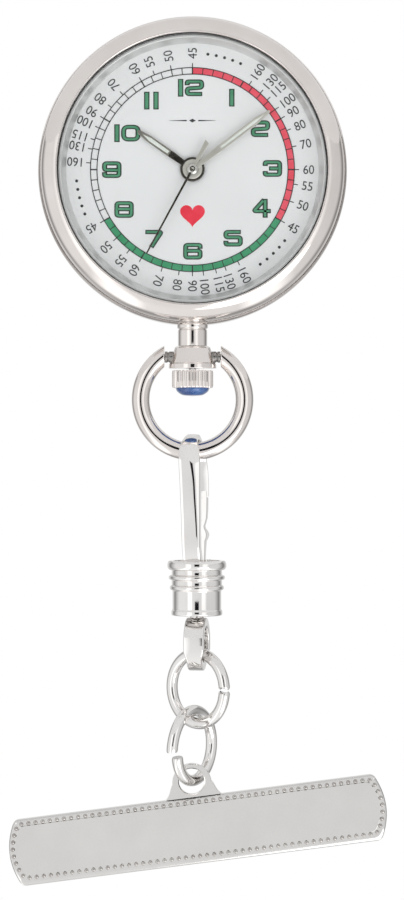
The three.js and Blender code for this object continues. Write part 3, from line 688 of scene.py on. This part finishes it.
def stroke(points, closed, width, grow, level, place):
    """A flat printed ribbon along a path with rounded bends, longer at both ends by the growth."""
    path = rounded(points, 0.24, 5, closed)
    count = len(path)
    if not closed:
        path[0] = path[0] + (path[0] - path[1]).normalized() * grow
        path[-1] = path[-1] + (path[-1] - path[-2]).normalized() * grow
    stations = []
    for k, point in enumerate(path):
        ahead = path[(k + 1) % count] if closed or k < count - 1 else point
        behind = path[k - 1] if closed or k > 0 else point
        along_in = (point - behind).normalized() if behind != point else (ahead - point).normalized()
        along_out = (ahead - point).normalized() if ahead != point else along_in
        along = (along_in + along_out).normalized()
        side = Vector((-along.y, along.x * THIN_BARS)) * width / 2 / max(along.dot(along_out), 0.5)
        a = point + side + place
        b = point - side + place
        stations.append([(p.x, p.y, z) for p, z in
                         ((a, level), (b, level), (b, level + INK), (a, level + INK))])
    return loft(stations, closed)


def hour_numerals():
    """Green figures with a dark rim. Each place is the middle of the figure in dial coordinates."""
    places = {1: (4.17, 7.63), 2: (7.21, 4.34), 3: (8.48, 0.12), 4: (7.29, -4.1), 5: (4.31, -7.28),
              6: (0.04, -8.66), 7: (-4.12, -7.28), 8: (-7.26, -4.23), 9: (-8.56, 0.0), 10: (-6.9, 3.87),
              11: (-4.36, 7.32), 12: (-0.15, 8.68)}
    fills = []
    rims = []
    for hour, centre in places.items():
        digits = str(hour)
        widths = [0.56 if d == "1" else 2.06 for d in digits]
        gap = 0.42 if hour == 11 else 0.16
        left = -(sum(widths) + gap * (len(digits) - 1)) / 2
        for digit, wide in zip(digits, widths):
            place = Vector(centre) + Vector((left + wide / 2, 0))
            rim, fill = (0.58, 0.32) if digit == "1" else (0.54, 0.26)
            rim_growth, fill_growth = (0.0, -0.11) if digit == "1" else (0.06, -0.06)
            for points, closed in numeral_strokes(digit):
                rims.append(stroke(points, closed, rim, rim_growth, 0.0, place))
                fills.append(stroke(points, closed, fill, fill_growth, INK, place))
            left += wide + gap
    printed("numeral_rims", merge(*rims), INK_RIM)
    printed("numeral_fills", merge(*fills), INK_GREEN)


def heart_mark():
    """A plain red heart below the middle."""
    count, scale, centre_v = 64, 0.082, -4.75
    outline = []
    for k in range(count):
        t = 2 * pi * k / count
        u = 16 * sin(t) ** 3
        v = 13 * cos(t) - 5 * cos(2 * t) - 2 * cos(3 * t) - cos(4 * t)
        outline.append((u * scale, v * scale + centre_v))
    printed("heart_mark", extruded(outline, 0.0, INK), INK_RED)


def maker_ornament():
    """A small plain flourish under twelve: a lozenge between two tapering lines."""
    lozenge = extruded([(-0.34, 5.2), (0, 5.0), (0.34, 5.2), (0, 5.4)], 0.0, INK)
    wings = []
    for side in (-1, 1):
        points = [(side * 0.62, 5.27), (side * 2.5, 5.205), (side * 2.5, 5.195), (side * 0.62, 5.13)]
        wings.append(extruded(points, 0.0, INK))
    printed("dial_ornament", merge(lozenge, *wings), INK_DARK)


def dial_disc():
    head_part("dial_disc", "dial", DIAL, [
        (0.76, -2.545, 0.02), (13.88, -2.545, 0.02), (13.88, -2.21, 0.02), (0.76, -2.21, 0.02)])


dial_disc()
minute_track()
pulse_scale()
hour_numerals()
heart_mark()
maker_ornament()

# ---- Hands ----

HANDS = {  # body: clock angle, level of the underside, node
    "hours": (305, -2.86, "hour_hand"),
    "minutes": (52.9, -3.08, "minute_hand"),
    "seconds": (208.5, -3.30, "second_hand"),
}
FLATTEN = Matrix.Diagonal((1, 1, 0.35, 1))


def hand_place(degrees, level):
    """Puts a hand drawn along +v on the dial's axis, turned clockwise and lifted off the middle plane."""
    return FACE @ at(0, 0, DIAL_Y - CASE.y - level) @ turn("Z", -degrees)


def mirrored(flank):
    """A whole outline from the right-hand points of a symmetrical one."""
    return flank + [(-u, v) for u, v in reversed(flank) if u]


def baton(name, body, outline, material, slot=None):
    """A flat hand with softly sloping edges and, where it has a slot, a luminous filling."""
    degrees, level, node = HANDS[body]
    place = hand_place(degrees, level)
    blade = moved(extruded(outline, 0.0, 0.34, 0.08, 3, [slot] if slot else []), FLATTEN)
    finish_mesh(name, blade, body, material, node, angle=30, place=place)
    if slot:
        finish_mesh(name + "_lume", extruded(slot, 0.03, 0.11), body, LUME, place=place)


def boss(name, body, corners, material):
    """Turned middle of a hand; its slopes catch the light."""
    place = hand_place(0, HANDS[body][1])
    finish_mesh(name, lathe([(0, -0.01), *corners], 0.03, 96), body, material, place=place)


def hands():
    baton("hour_stem", "hours", mirrored([(0.25, 0.6), (0.32, 1.6), (0.37, 2.95)]), HAND_DARK)
    baton("hour_baton", "hours", mirrored([(0.37, 2.95), (0.36, 5.6), (0.22, 6.9), (0, 7.15)]), HAND_OLIVE,
          mirrored([(0.17, 3.12), (0.19, 5.5), (0, 6.4)]))
    baton("minute_baton", "minutes", mirrored([(0.24, 0.5), (0.3, 1.6), (0.36, 4.0), (0.33, 8.6),
                                               (0.16, 10.1), (0, 10.33)]), HAND_SATIN,
          mirrored([(0.1, 3.8), (0.13, 8.4), (0, 9.4)]))
    # The second needle takes the near-black hand finish as painted shade, standing for the shaded side of the
    # thin needle.
    baton("second_needle", "seconds", mirrored([(0.13, 0), (0.085, 10.15)]), HAND_DARK)
    baton("second_tail", "seconds", [(-0.13, 0), (-0.28, -3.2), (0.28, -3.4), (0.13, 0)], HAND_SATIN)
    boss("hour_boss", "hours", [(1.3, -0.01, 0.01), (1.3, 0.04, 0.02), (1.2, 0.11, 0.04), (0.93, 0.08, 0.02),
                                (0, 0.08)], HAND_DARK)
    boss("minute_boss", "minutes", [(1.05, -0.01, 0.01), (1.05, 0.04, 0.02), (0.95, 0.12, 0.05),
                                    (0.7, 0.08, 0.02), (0, 0.08)], HAND_SATIN)
    boss("second_boss", "seconds", [(0.58, -0.01, 0.01), (0.57, 0.05, 0.03), (0.32, 0.17, 0.05),
                                    (0.18, 0.17, 0.02), (0.15, 0.06, 0.02), (0, 0.06)], HAND_POLISHED)


hands()

# ---- Jump rings and clasp ----


def jump_ring(name, body, node, radius, facing, gap, centre, spring, slant):
    """Cut wire ring, open between the two angles of the gap, in degrees. Its ends spring apart sideways, are
    slightly rounded, and are pinched to a ridge by cutters coming from the front and the back."""
    wire = 0.615
    count = 180
    gap_from, gap_to = gap
    sweep = gap_from + 360 - gap_to
    spacing = radians(sweep) * radius / count
    end_widths = {0: 0.9, 1: 0.975}
    stations = []
    for k in range(count + 1):
        share = k / count
        angle = radians(gap_to + sweep * share)
        outward = Vector((cos(angle), 0, sin(angle)))
        from_gap = Vector((-outward.z, 0, outward.x)) * (1 if k < count / 2 else -1)
        sideways = Vector((0, spring * (share - 0.5) * abs(2 * share - 1) ** 3, 0))
        from_end = min(k, count - k)
        r = wire * end_widths.get(from_end, 1.0)
        station = []
        for p in circle_section(outward * radius, outward, Vector((0, 1, 0)), r, 36):
            pinch = max(slant * abs(p.y) / wire - 0.85 * from_end * spacing, 0)
            station.append(p + from_gap * pinch + sideways)
        stations.append(station)
    finish_mesh(name, loft(stations), body, NICKEL_CHAIN, node, angle=50,
                place=at(*centre) @ turn("Z", facing))


def jump_rings():
    jump_ring("ring_near_brooch", "lower_ring", "jump_ring_lower", 3.73, -58, (6, 14),
              (0.52, HANG_Y, -9.03), 0.6, 0.0)
    jump_ring("ring_near_clasp", "upper_ring", "jump_ring_upper", 3.765, 42, (179.2, 180.8),
              (0, HANG_Y, -15.15), 0.0, 0.3)


CLASP = at((low("swivel_collar").x + high("swivel_collar").x) / 2, HANG_Y, 0) @ turn("Z", TWIST)


def stadium(depth, low_z, high_z, count):
    """Points (y, z) of an upright loop with round ends."""
    r = depth / 2
    return (arc(r, 0, pi, count, 0, high_z - r)
            + arc(r, pi, 2 * pi, count, 0, low_z + r))


def swivel_eye():
    """Flat loop bent from strip, narrower where it holds the ring, and the stud it turns on."""
    depth, band, ring_end, collar_end = 5.5, 0.9, -17.05, -22.72
    middle_z = (ring_end + collar_end) / 2
    stations = []
    for y, z in stadium(depth, collar_end, ring_end, 28):
        end_z = ring_end - depth / 2 if z > middle_z else collar_end + depth / 2
        inward = Vector((0, -y, end_z - z)).normalized()
        narrowing = min(max((z - ring_end + 2.1) / 0.8, 0), 1)
        half = 1.08 - 0.26 * narrowing
        section = rounded([(0.0, -half), (0.0, half), (band, half), (band, -half)], 0.17, 4)
        stations.append([Vector((s.y, y, z)) + inward * s.x for s in section])
    loop = loft(stations, closed=True)
    stud = lathe([(0, -26.4), (1.33, -26.4, 0.05), (1.33, -25.95, 0.05), (0.74, -25.95, 0.02),
                  (0.74, -22.75, 0.02), (0.95, -22.3, 0.1), (0.9, -21.55, 0.2), (0, -21.5)], segments=48)
    finish_mesh("eye_loop", merge(loop, stud), "eye", NICKEL_CHAIN, "swivel_eye",
                place=CLASP @ turn("Z", EYE_TURN))


def swivel_collar():
    """Ferrule: a cup mouth towards the eye, two beads and a stepped base. Heights start at its base."""
    base, top = -28.83, 5.89
    profile = [
        (2.5, 0), (3.0, 0, 0.12), (3.16, 0.28, 0.2), (3.16, 0.72, 0.2), (2.98, 0.97, 0.1), (2.7, 1.0, 0.05),
        (2.7, 1.5, 0.05), (3.01, 1.63, 0.14), (3.01, 1.97, 0.14), (2.7, 2.1, 0.05),
        (2.7, 2.6, 0.05), (2.9, 2.75, 0.14), (2.9, 3.07, 0.14), (2.61, 3.2, 0.1),
        (2.61, top - 0.7, 0.1), (2.74, top - 0.5, 0.15), (2.74, top - 0.12, 0.1), (2.62, top - 0.02, 0.08),
        (2.25, top - 0.1, 0.1), (1.5, top - 0.75, 0.3), (0.79, top - 0.85, 0.05), (0.79, top - 2.9, 0.05),
        (2.5, top - 2.9, 0.05)]
    finish_mesh("collar_ferrule", lathe(profile, 0.05, 144, 5), "clasp", NICKEL_CHAIN,
                "swivel_collar", angle=45, place=CLASP @ at(0, 0, base))


def hook_section(centre, along, wide, thick, crest, fall, slope):
    """A strip's cross-section. The outside has a narrow band along one edge, a broad band and, beyond the
    crest, a band that falls off; the inside slopes by the given amount from edge to edge."""
    across = Vector((1, 0, 0))
    outward = along.cross(across).normalized()
    half = wide / 2
    line = crest * half
    peak = half - 0.3
    edge = thick - 0.17 * fall * (peak - line)
    softness = 0.34 + 0.25 * crest
    profile = rounded([(-half, slope), (half, 0), (half, thick - 0.02), (peak, thick),
                       (line, edge, softness), (-half, edge - fall * (line + half))], 0.1)
    return [centre + across * p.x + outward * p.y for p in profile]


def hook():
    """The strip runs from the collar down the front, round the tip and up the back to the gate."""
    path = [  # x, y and z of the inner face; width, thickness; crest, fall beyond it; slope inside
        (0, -1.0, -27.0, 1.8, 1.45, -0.84, 0.51, 0), (0, -1.1, -28.6, 1.84, 1.4, -0.84, 0.51, 0),
        (0, -1.95, -30.2, 1.88, 1.2, -0.8, 0.51, 0), (0.02, -2.2, -31.5, 1.92, 1.08, -0.76, 0.51, 0),
        (0.05, -2.22, -33.5, 1.98, 1.04, -0.68, 0.51, 0), (0.1, -2.25, -35.6, 2.06, 1.0, -0.58, 0.51, 0),
        (0.16, -2.2, -37.4, 2.14, 0.95, -0.5, 0.51, 0), (0.26, -2.08, -39.2, 2.22, 0.88, -0.3, 0.45, 0),
        (0.36, -1.75, -40.5, 2.1, 0.8, 0.0, 0.3, 0), (0.42, -1.05, -41.3, 1.55, 0.7, 0.0, 0.2, 0),
        (0.42, 0.0, -41.72, 1.2, 0.64, 0.0, 0.1, 0), (0.45, 1.0, -41.6, 1.2, 0.62, 0.0, 0.05, 0.1),
        (0.42, 1.95, -41.0, 1.2, 0.62, 0.0, 0.05, 0.2), (0.25, 2.6, -39.9, 1.2, 0.62, 0.0, 0.05, 0.35),
        (0.08, 2.82, -38.4, 1.2, 0.62, 0.0, 0.05, 0.48), (0, 2.82, -37.0, 1.2, 0.62, 0.0, 0.05, 0.48),
        (0, 2.82, -35.62, 1.2, 0.62, 0.0, 0.05, 0.48)]
    smooth = smooth_path(path, 7)
    stations = []
    for k, here in enumerate(smooth):
        ahead = smooth[min(k + 1, len(smooth) - 1)]
        behind = smooth[max(k - 1, 0)]
        along = Vector(ahead[:3]) - Vector(behind[:3])
        stations.append(hook_section(Vector(here[:3]), along.normalized(), *here[3:]))
    finish_mesh("hook_strip", merge(loft(stations), plug_with_cheeks()), "clasp", NICKEL_CHAIN,
                "hook_body", angle=40, place=CLASP)


def plug_with_cheeks():
    """Round plug in the collar's mouth, with two cheeks that carry the gate pin."""
    plug = lathe([(0, -28.45), (2.42, -28.45, 0.05), (2.46, -27.2, 0.05), (0, -27.15)], segments=64)
    outline = [(1.15, -28.9), (1.0, -27.3), (2.35, -27.3), (2.35, -28.4), (2.1, -28.9)]
    cheeks = [moved(extruded(outline, -0.2, 0.2, 0.05), at(side * 0.92, 0, 0) @ SIDEWAYS) for side in (-1, 1)]
    return merge(plug, *cheeks)


def hook_gate():
    """Sprung lever: a hinge barrel, a waist, a round thumb knob and a ledge that meets the hook's tip."""
    levels = [  # z; y of the inner and of the outer face; half the width
        (-36.25, 2.14, 2.62, 0.44), (-36.2, 2.1, 2.66, 0.52), (-35.56, 2.08, 2.68, 0.56),
        (-35.52, 2.06, 3.3, 0.56), (-35.46, 2.05, 3.36, 0.58), (-34.2, 1.96, 3.28, 0.58),
        (-33.3, 1.9, 3.1, 0.55), (-32.8, 1.86, 2.95, 0.44), (-32.45, 1.84, 2.95, 0.33),
        (-32.15, 1.82, 3.15, 0.38), (-31.9, 1.8, 3.5, 0.5), (-31.6, 1.78, 3.82, 0.57),
        (-31.4, 1.77, 3.86, 0.57), (-31.1, 1.75, 3.6, 0.52), (-30.85, 1.72, 3.2, 0.44),
        (-30.2, 1.68, 2.95, 0.44), (-28.6, 1.5, 2.5, 0.44), (-27.6, 1.46, 2.36, 0.44),
        (-27.1, 1.5, 2.3, 0.42)]
    stations = []
    for z, inner, outer, half in levels:
        slope = min(0.9 * half, outer - inner - 0.1)
        corners = rounded([(-half, inner + slope), (half, inner), (half, outer), (-half, outer)], 0.1)
        stations.append([Vector((c.x, c.y, z)) for c in corners])
    finish_mesh("gate_lever", loft(stations), "gate", NICKEL_CHAIN, "hook_gate", angle=50,
                place=CLASP)


def rivet(end, shoulder):
    """Plain pin with two equal ends; the end and its shoulder are each (radius, height, rounding)."""
    upper = [shoulder, end, (0, end[1])]
    lower = [(r, -z, *softness) for r, z, *softness in reversed(upper)]
    return lathe(lower + upper, segments=32)


def gate_pin():
    pin = rivet((0.24, 1.13, 0.05), (0.275, 1.05, 0.03))
    finish_mesh("gate_rivet", pin, "clasp", STEEL, "gate_pin",
                place=CLASP @ at(0, 1.9, -27.6) @ AXIS_X)


jump_rings()
swivel_eye()
swivel_collar()
hook()
hook_gate()
gate_pin()

# ---- Brooch ----

BROOCH = turn("Y", -TILT)
PIN_HINGE = BROOCH @ at(-13.5, 1.75, 0)
PIN_CATCH = BROOCH @ at(13.5, 1.75, 0)
BAR_FRONT, BAR_BACK = -2.18, -0.63


def bar_outline(inset, lower=0.0, count=12):
    """Points (x, z) of the bar: straight long sides, small round corners and bulged ends.
    The inset can be larger by the given amount along the side away from the tab."""
    half, corner_x, bulge, corner = 3.545, 19.36, 20.3, 0.5

    def end(z):
        return corner_x + (bulge - corner_x) * (1 - (z / half) ** 2)

    quarter = []
    for k in range(count + 1):
        t = k / count
        a = Vector((corner_x - corner, half))
        b = Vector((corner_x + 0.03, half))
        c = Vector((end(half - corner), half - corner))
        quarter.append(a * (1 - t) ** 2 + b * 2 * t * (1 - t) + c * t ** 2)
    for k in range(1, count + 1):
        z = (half - corner) * (1 - k / count)
        quarter.append(Vector((end(z), z)))
    right = quarter + [Vector((p.x, -p.y)) for p in reversed(quarter[:-1])]
    outline = right + [Vector((-p.x, -p.y)) for p in right]
    squeeze = 1 - (inset + lower / 2) / half
    return [Vector((p.x * (1 - inset / bulge), p.y * squeeze - lower / 2)) for p in outline]


def lean_back(bm):
    """Thins the plate towards its top edge, so that its front faces up a little."""
    slope, lowest = 0.035, -3.585
    for vert in bm.verts:
        if vert.co.y < HANG_Y:
            vert.co.y += slope * (vert.co.z - lowest)
    return bm


def brooch_bar():
    """Pressed plate: rounded rim, a sunk border for the beads and a flat field."""
    sunk = BAR_FRONT + 0.15
    levels = [(0.0, 0.0, BAR_BACK), (0.0, 0.0, BAR_FRONT + 0.5), (0.03, 0.0, BAR_FRONT + 0.34),
              (0.1, 0.05, BAR_FRONT + 0.22), (0.2, 0.2, sunk), (0.24, 0.26, sunk), (0.62, 0.45, sunk),
              (0.66, 0.45, BAR_FRONT), (0.8, 0.45, BAR_FRONT), (2.5, 0.45, BAR_FRONT)]
    stations = [[Vector((p.x, y, p.y)) for p in bar_outline(inset, lower)] for inset, lower, y in levels]
    finish_mesh("brooch_bar", lean_back(merge(loft(stations), brooch_tab())), "brooch", NICKEL_BAR,
                "brooch_plate", angle=20, place=BROOCH)


def brooch_tab():
    """Bell-shaped tab below the bar, with a punched hole whose edge is turned."""
    flank = [(-3.25, -3.0), (-3.12, -3.5), (-2.86, -3.72), (-2.66, -3.98), (-2.5, -4.3), (-2.36, -4.65),
             (-2.2, -5.0)]
    end = arc(2.1, pi, 2 * pi, 30, 0, -5.09)
    hole = arc(1.37, 0, 2 * pi, 48, 0, -5.29)[:-1]
    outline = flank + end + [(-x, z) for x, z in reversed(flank)]
    return moved(extruded(outline, -0.4, 0.4, 0.09, 1, [hole]), upright(HANG_Y))


def along_outline(outline, spacing):
    """Evenly spaced points along a closed outline."""
    lengths = [(after - before).length for before, after in neighbours(outline, closed=True)]
    total = sum(lengths)
    count = round(total / spacing)
    points = []
    index = 0
    passed = 0.0
    for bead in range(count):
        target = total * bead / count
        while passed + lengths[index] < target:
            passed += lengths[index]
            index += 1
        share = (target - passed) / lengths[index]
        points.append(outline[index].lerp(outline[(index + 1) % len(outline)], share))
    return points


def bead_border():
    """A row of small pearls pressed out of the sunk border all round the bar; their darker nickel is painted
    shade.
    """
    bm = bmesh.new()
    for p in along_outline(bar_outline(0.42, 0.42, 24), 0.765):
        place = at(p.x, BAR_FRONT + 0.13, p.y) @ Matrix.Diagonal((1, 0.75, 1, 1))
        bmesh.ops.create_icosphere(bm, subdivisions=3, radius=0.225, matrix=place)
    # The beads wear the darker bead nickel, which is painted shade.
    finish_mesh("bead_border", lean_back(bm), "brooch", NICKEL_BEAD_PAINTED_SHADE, angle=180, place=BROOCH)


def rectangle(left, right, lower, upper):
    return [(left, lower), (right, lower), (right, upper), (left, upper)]


def pin_base():
    outline = rounded(rectangle(-15.5, 15.5, -1.6, 1.6), 0.9, 6)
    finish_mesh("pin_strip", extruded(outline, -0.29, 0.29, 0.09, 3), "brooch", NICKEL_SATIN,
                "pin_base", place=BROOCH @ upright(-0.3))


def pin_bracket():
    """U-shaped hinge cheeks, bent from one strip, and the rivet through them."""
    ear = [(1.0, -1.71), *arc(1.0, 0, pi, 16), (-1.0, -1.71)]
    ears = [extruded(ear, z, z + 0.5, 0.08, 2) for z in (-1.0, 0.5)]
    foot = extruded(rectangle(-1.28, 1.28, -1.71, -1.39), -1.18, 1.18, 0.06, 2)
    finish_mesh("hinge_cheeks", merge(foot, *ears), "brooch", NICKEL_SATIN, "pin_hinge_bracket",
                place=PIN_HINGE)
    finish_mesh("hinge_rivet", rivet((0.3, 1.24, 0.08), (0.325, 1.1, 0.02)), "brooch", STEEL,
                "pin_hinge_rivet", place=PIN_HINGE)


def pin_wire():
    """Sharpened pin with a flattened eye round the rivet."""
    stem = lathe([(0, 0.35), (0.33, 0.35, 0.02), (0.345, 0.6, 0.05), (0.345, 24.0, 3.0), (0.26, 26.8, 1.0),
                  (0.07, 29.0, 0.05), (0, 29.08)], segments=32)
    eye = lathe([(0.41, -0.36, 0.05), (0.82, -0.36, 0.14), (0.82, 0.36, 0.14), (0.41, 0.36, 0.05)],
                segments=48)
    finish_mesh("pin_wire", merge(moved(stem, AXIS_X), eye), "pin", STEEL, "pin_stem",
                place=PIN_HINGE)


def c_section(inner, outer, half_slot, count=40):
    """Ring section with a slot on its right."""
    def open_arc(radius):
        start = asin(half_slot / radius)
        return arc(radius, start, 2 * pi - start, count)
    return open_arc(outer) + list(reversed(open_arc(inner)))


def pin_catch():
    """Open housing on the bar, and the roller inside it with a finger tab."""
    shell = moved(extruded(c_section(1.09, 1.53, 0.55), -0.59, 0.59, 0.06, 2), SIDEWAYS)
    foot = moved(extruded(rectangle(-0.59, 0.59, -1.0, 1.0), -0.16, 0.16, 0.05, 2), upright(-1.56))
    finish_mesh("catch_shell", merge(shell, foot), "brooch", NICKEL_SATIN, "catch_housing",
                place=PIN_CATCH)
    tube = moved(extruded(c_section(0.61, 1.04, 0.5), -1.04, 1.04, 0.06, 2), SIDEWAYS)
    tab = extruded(rounded(rectangle(0.9, 1.72, -0.14, 0.14), 0.05, 3), 0.68, 1.02, 0.05, 2)
    moved(tab, turn("X", 62) @ SIDEWAYS)
    finish_mesh("catch_tube", merge(tube, tab), "safety_roller", NICKEL, "catch_roller",
                place=PIN_CATCH)


brooch_bar()
bead_border()
pin_base()
pin_bracket()
pin_wire()
pin_catch()

# ---- Pieces kept from the CAD model ----


def paint_carried():
    """The movement and other hidden pieces keep their CAD shape and get their own finish."""
    finishes = (
        (STEEL, ["gate_spring", "bridge_screw_1", "bridge_screw_2", "bridge_screw_3", "battery",
                 "battery_clamp", "stator", "coil_core", "crystal_can", "stem", "setting_lever"]),
        (BRASS, ["main_plate", "train_bridge", "second_wheel", "third_wheel", "centre_wheel", "minute_wheel",
                 "hour_wheel", "intermediate_wheel"]),
        (RUBBER, ["back_gasket"]),
        (GREY_PLASTIC, ["movement_ring", "rotor"]),
        (COPPER, ["coil"]),
        (BOARD, ["circuit_board"]),
    )
    for material, nodes in finishes:
        for node in nodes:
            mesh = frame["nodes"][node].data
            mesh.materials.clear()
            mesh.materials.append(material)


paint_carried()

# ---- Floor, light and camera ----


def floor():
    """A plain pale disc on which the part throws its shadow."""
    bm = bmesh.new()
    bmesh.ops.create_circle(bm, cap_ends=True, segments=128, radius=0.2)
    slab = linked("floor", as_mesh("floor", bm))
    slab.location = (0, 0, -0.125)
    slab.data.materials.append(shader("floor_paper", (0.86, 0.86, 0.86), roughness=0.9))


def below(tree, value, start, stop):
    """1 where the value is below start, 0 beyond stop, and smooth between them."""
    span = add_node(tree, "ShaderNodeMapRange", {
        "Value": value, "From Min": start, "From Max": stop, "To Min": 1, "To Max": 0},
        interpolation_type="SMOOTHSTEP")
    return span.outputs["Result"]


def grey(tree, value, stops):
    return ramp(tree, value, [(position, (level, level, level)) for position, level in stops])


def dark_strip(tree, across, depth, height):
    """1 in the directions that one upright dark strip in front fills, from just above level to well below."""
    drop = calculate(tree, "MULTIPLY", height, -1)
    sides = calculate(tree, "MULTIPLY", below(tree, across, 0.13, 0.2), below(tree, height, 0.064, 0.08))
    ends = calculate(tree, "MULTIPLY", below(tree, drop, 0.35, 0.6), below(tree, depth, -0.3, -0.1))
    return calculate(tree, "MULTIPLY", sides, ends)


def world():
    """White to the camera. Mirrors see a soft dome with two brighter sides, greyer behind, and one upright
    dark strip in front."""
    scene = bpy.context.scene
    scene.world = bpy.data.worlds.new("studio")
    scene.world.use_nodes = True
    tree = scene.world.node_tree
    tree.nodes.clear()
    direction = add_node(tree, "ShaderNodeTexCoord").outputs["Generated"]
    axes = add_node(tree, "ShaderNodeSeparateXYZ", {"Vector": direction}).outputs
    across = calculate(tree, "ABSOLUTE", axes["X"])
    depth = add_node(tree, "ShaderNodeMapRange", {"Value": axes["Y"], "From Min": -1, "From Max": 1})
    front_to_back = grey(tree, depth.outputs["Result"], (
        (0.0, 0.93), (0.3, 1.0), (0.52, 0.98), (0.64, 0.7), (0.78, 0.32), (0.93, 0.5), (1.0, 0.95)))
    side_panels = grey(tree, across, (
        (0.0, 0.98), (0.34, 0.95), (0.44, 1.45), (0.62, 1.4), (0.74, 0.9), (1.0, 0.88)))
    both = add_node(tree, "ShaderNodeMix", {"Factor": 1, 6: front_to_back, 7: side_panels},
                    data_type="RGBA", blend_type="MULTIPLY")
    strip = dark_strip(tree, across, axes["Y"], axes["Z"])
    near_black = (0.012, 0.012, 0.014, 1)
    shade = add_node(tree, "ShaderNodeMix", {"Factor": strip, 6: both.outputs[2], 7: near_black},
                     data_type="RGBA")
    lean = add_node(tree, "ShaderNodeVectorMath", {0: direction, 1: (0.10, 0, 0.08)}, operation="DOT_PRODUCT")
    strength = calculate(tree, "ADD", lean.outputs["Value"], 0.97)
    dome = add_node(tree, "ShaderNodeBackground", {"Strength": strength, "Color": shade.outputs[2]})
    seen = add_node(tree, "ShaderNodeBackground", {"Color": (1, 1, 1, 1)})
    eye_ray = add_node(tree, "ShaderNodeLightPath").outputs["Is Camera Ray"]
    blend = add_node(tree, "ShaderNodeMixShader", {
        "Fac": eye_ray, 1: dome.outputs["Background"], 2: seen.outputs["Background"]})
    add_node(tree, "ShaderNodeOutputWorld", {"Surface": blend.outputs["Shader"]})


def key_lamp():
    """One soft square lamp, high on the left of the hanging watch; all in metres."""
    place = Vector((-0.3, -0.5, 0.42))
    target = Vector((0, 0, -0.045))
    data = bpy.data.lights.new("key", "AREA")
    data.size = 0.5
    data.energy = 1.0
    holder = linked("key", data)
    holder.location = place
    holder.rotation_mode = "QUATERNION"
    holder.rotation_quaternion = (target - place).to_track_quat("-Z", "Y")


def camera():
    """Faces +Y and stands on its head, because the watch lies with its head up in the picture; in metres."""
    x, y, z = -0.00043, -0.2911, -0.04066
    data = bpy.data.cameras.new("camera")
    data.sensor_fit = "AUTO"
    data.angle = radians(18.86)
    data.clip_start = 0.01
    data.clip_end = 20
    holder = linked("camera", data)
    holder.matrix_world = Matrix(((-1, 0, 0, x), (0, 0, -1, y), (0, -1, 0, z), (0, 0, 0, 1)))
    bpy.context.scene.camera = holder


floor()
world()
key_lamp()
camera()
bpy.context.scene.view_settings.view_transform = "Standard"
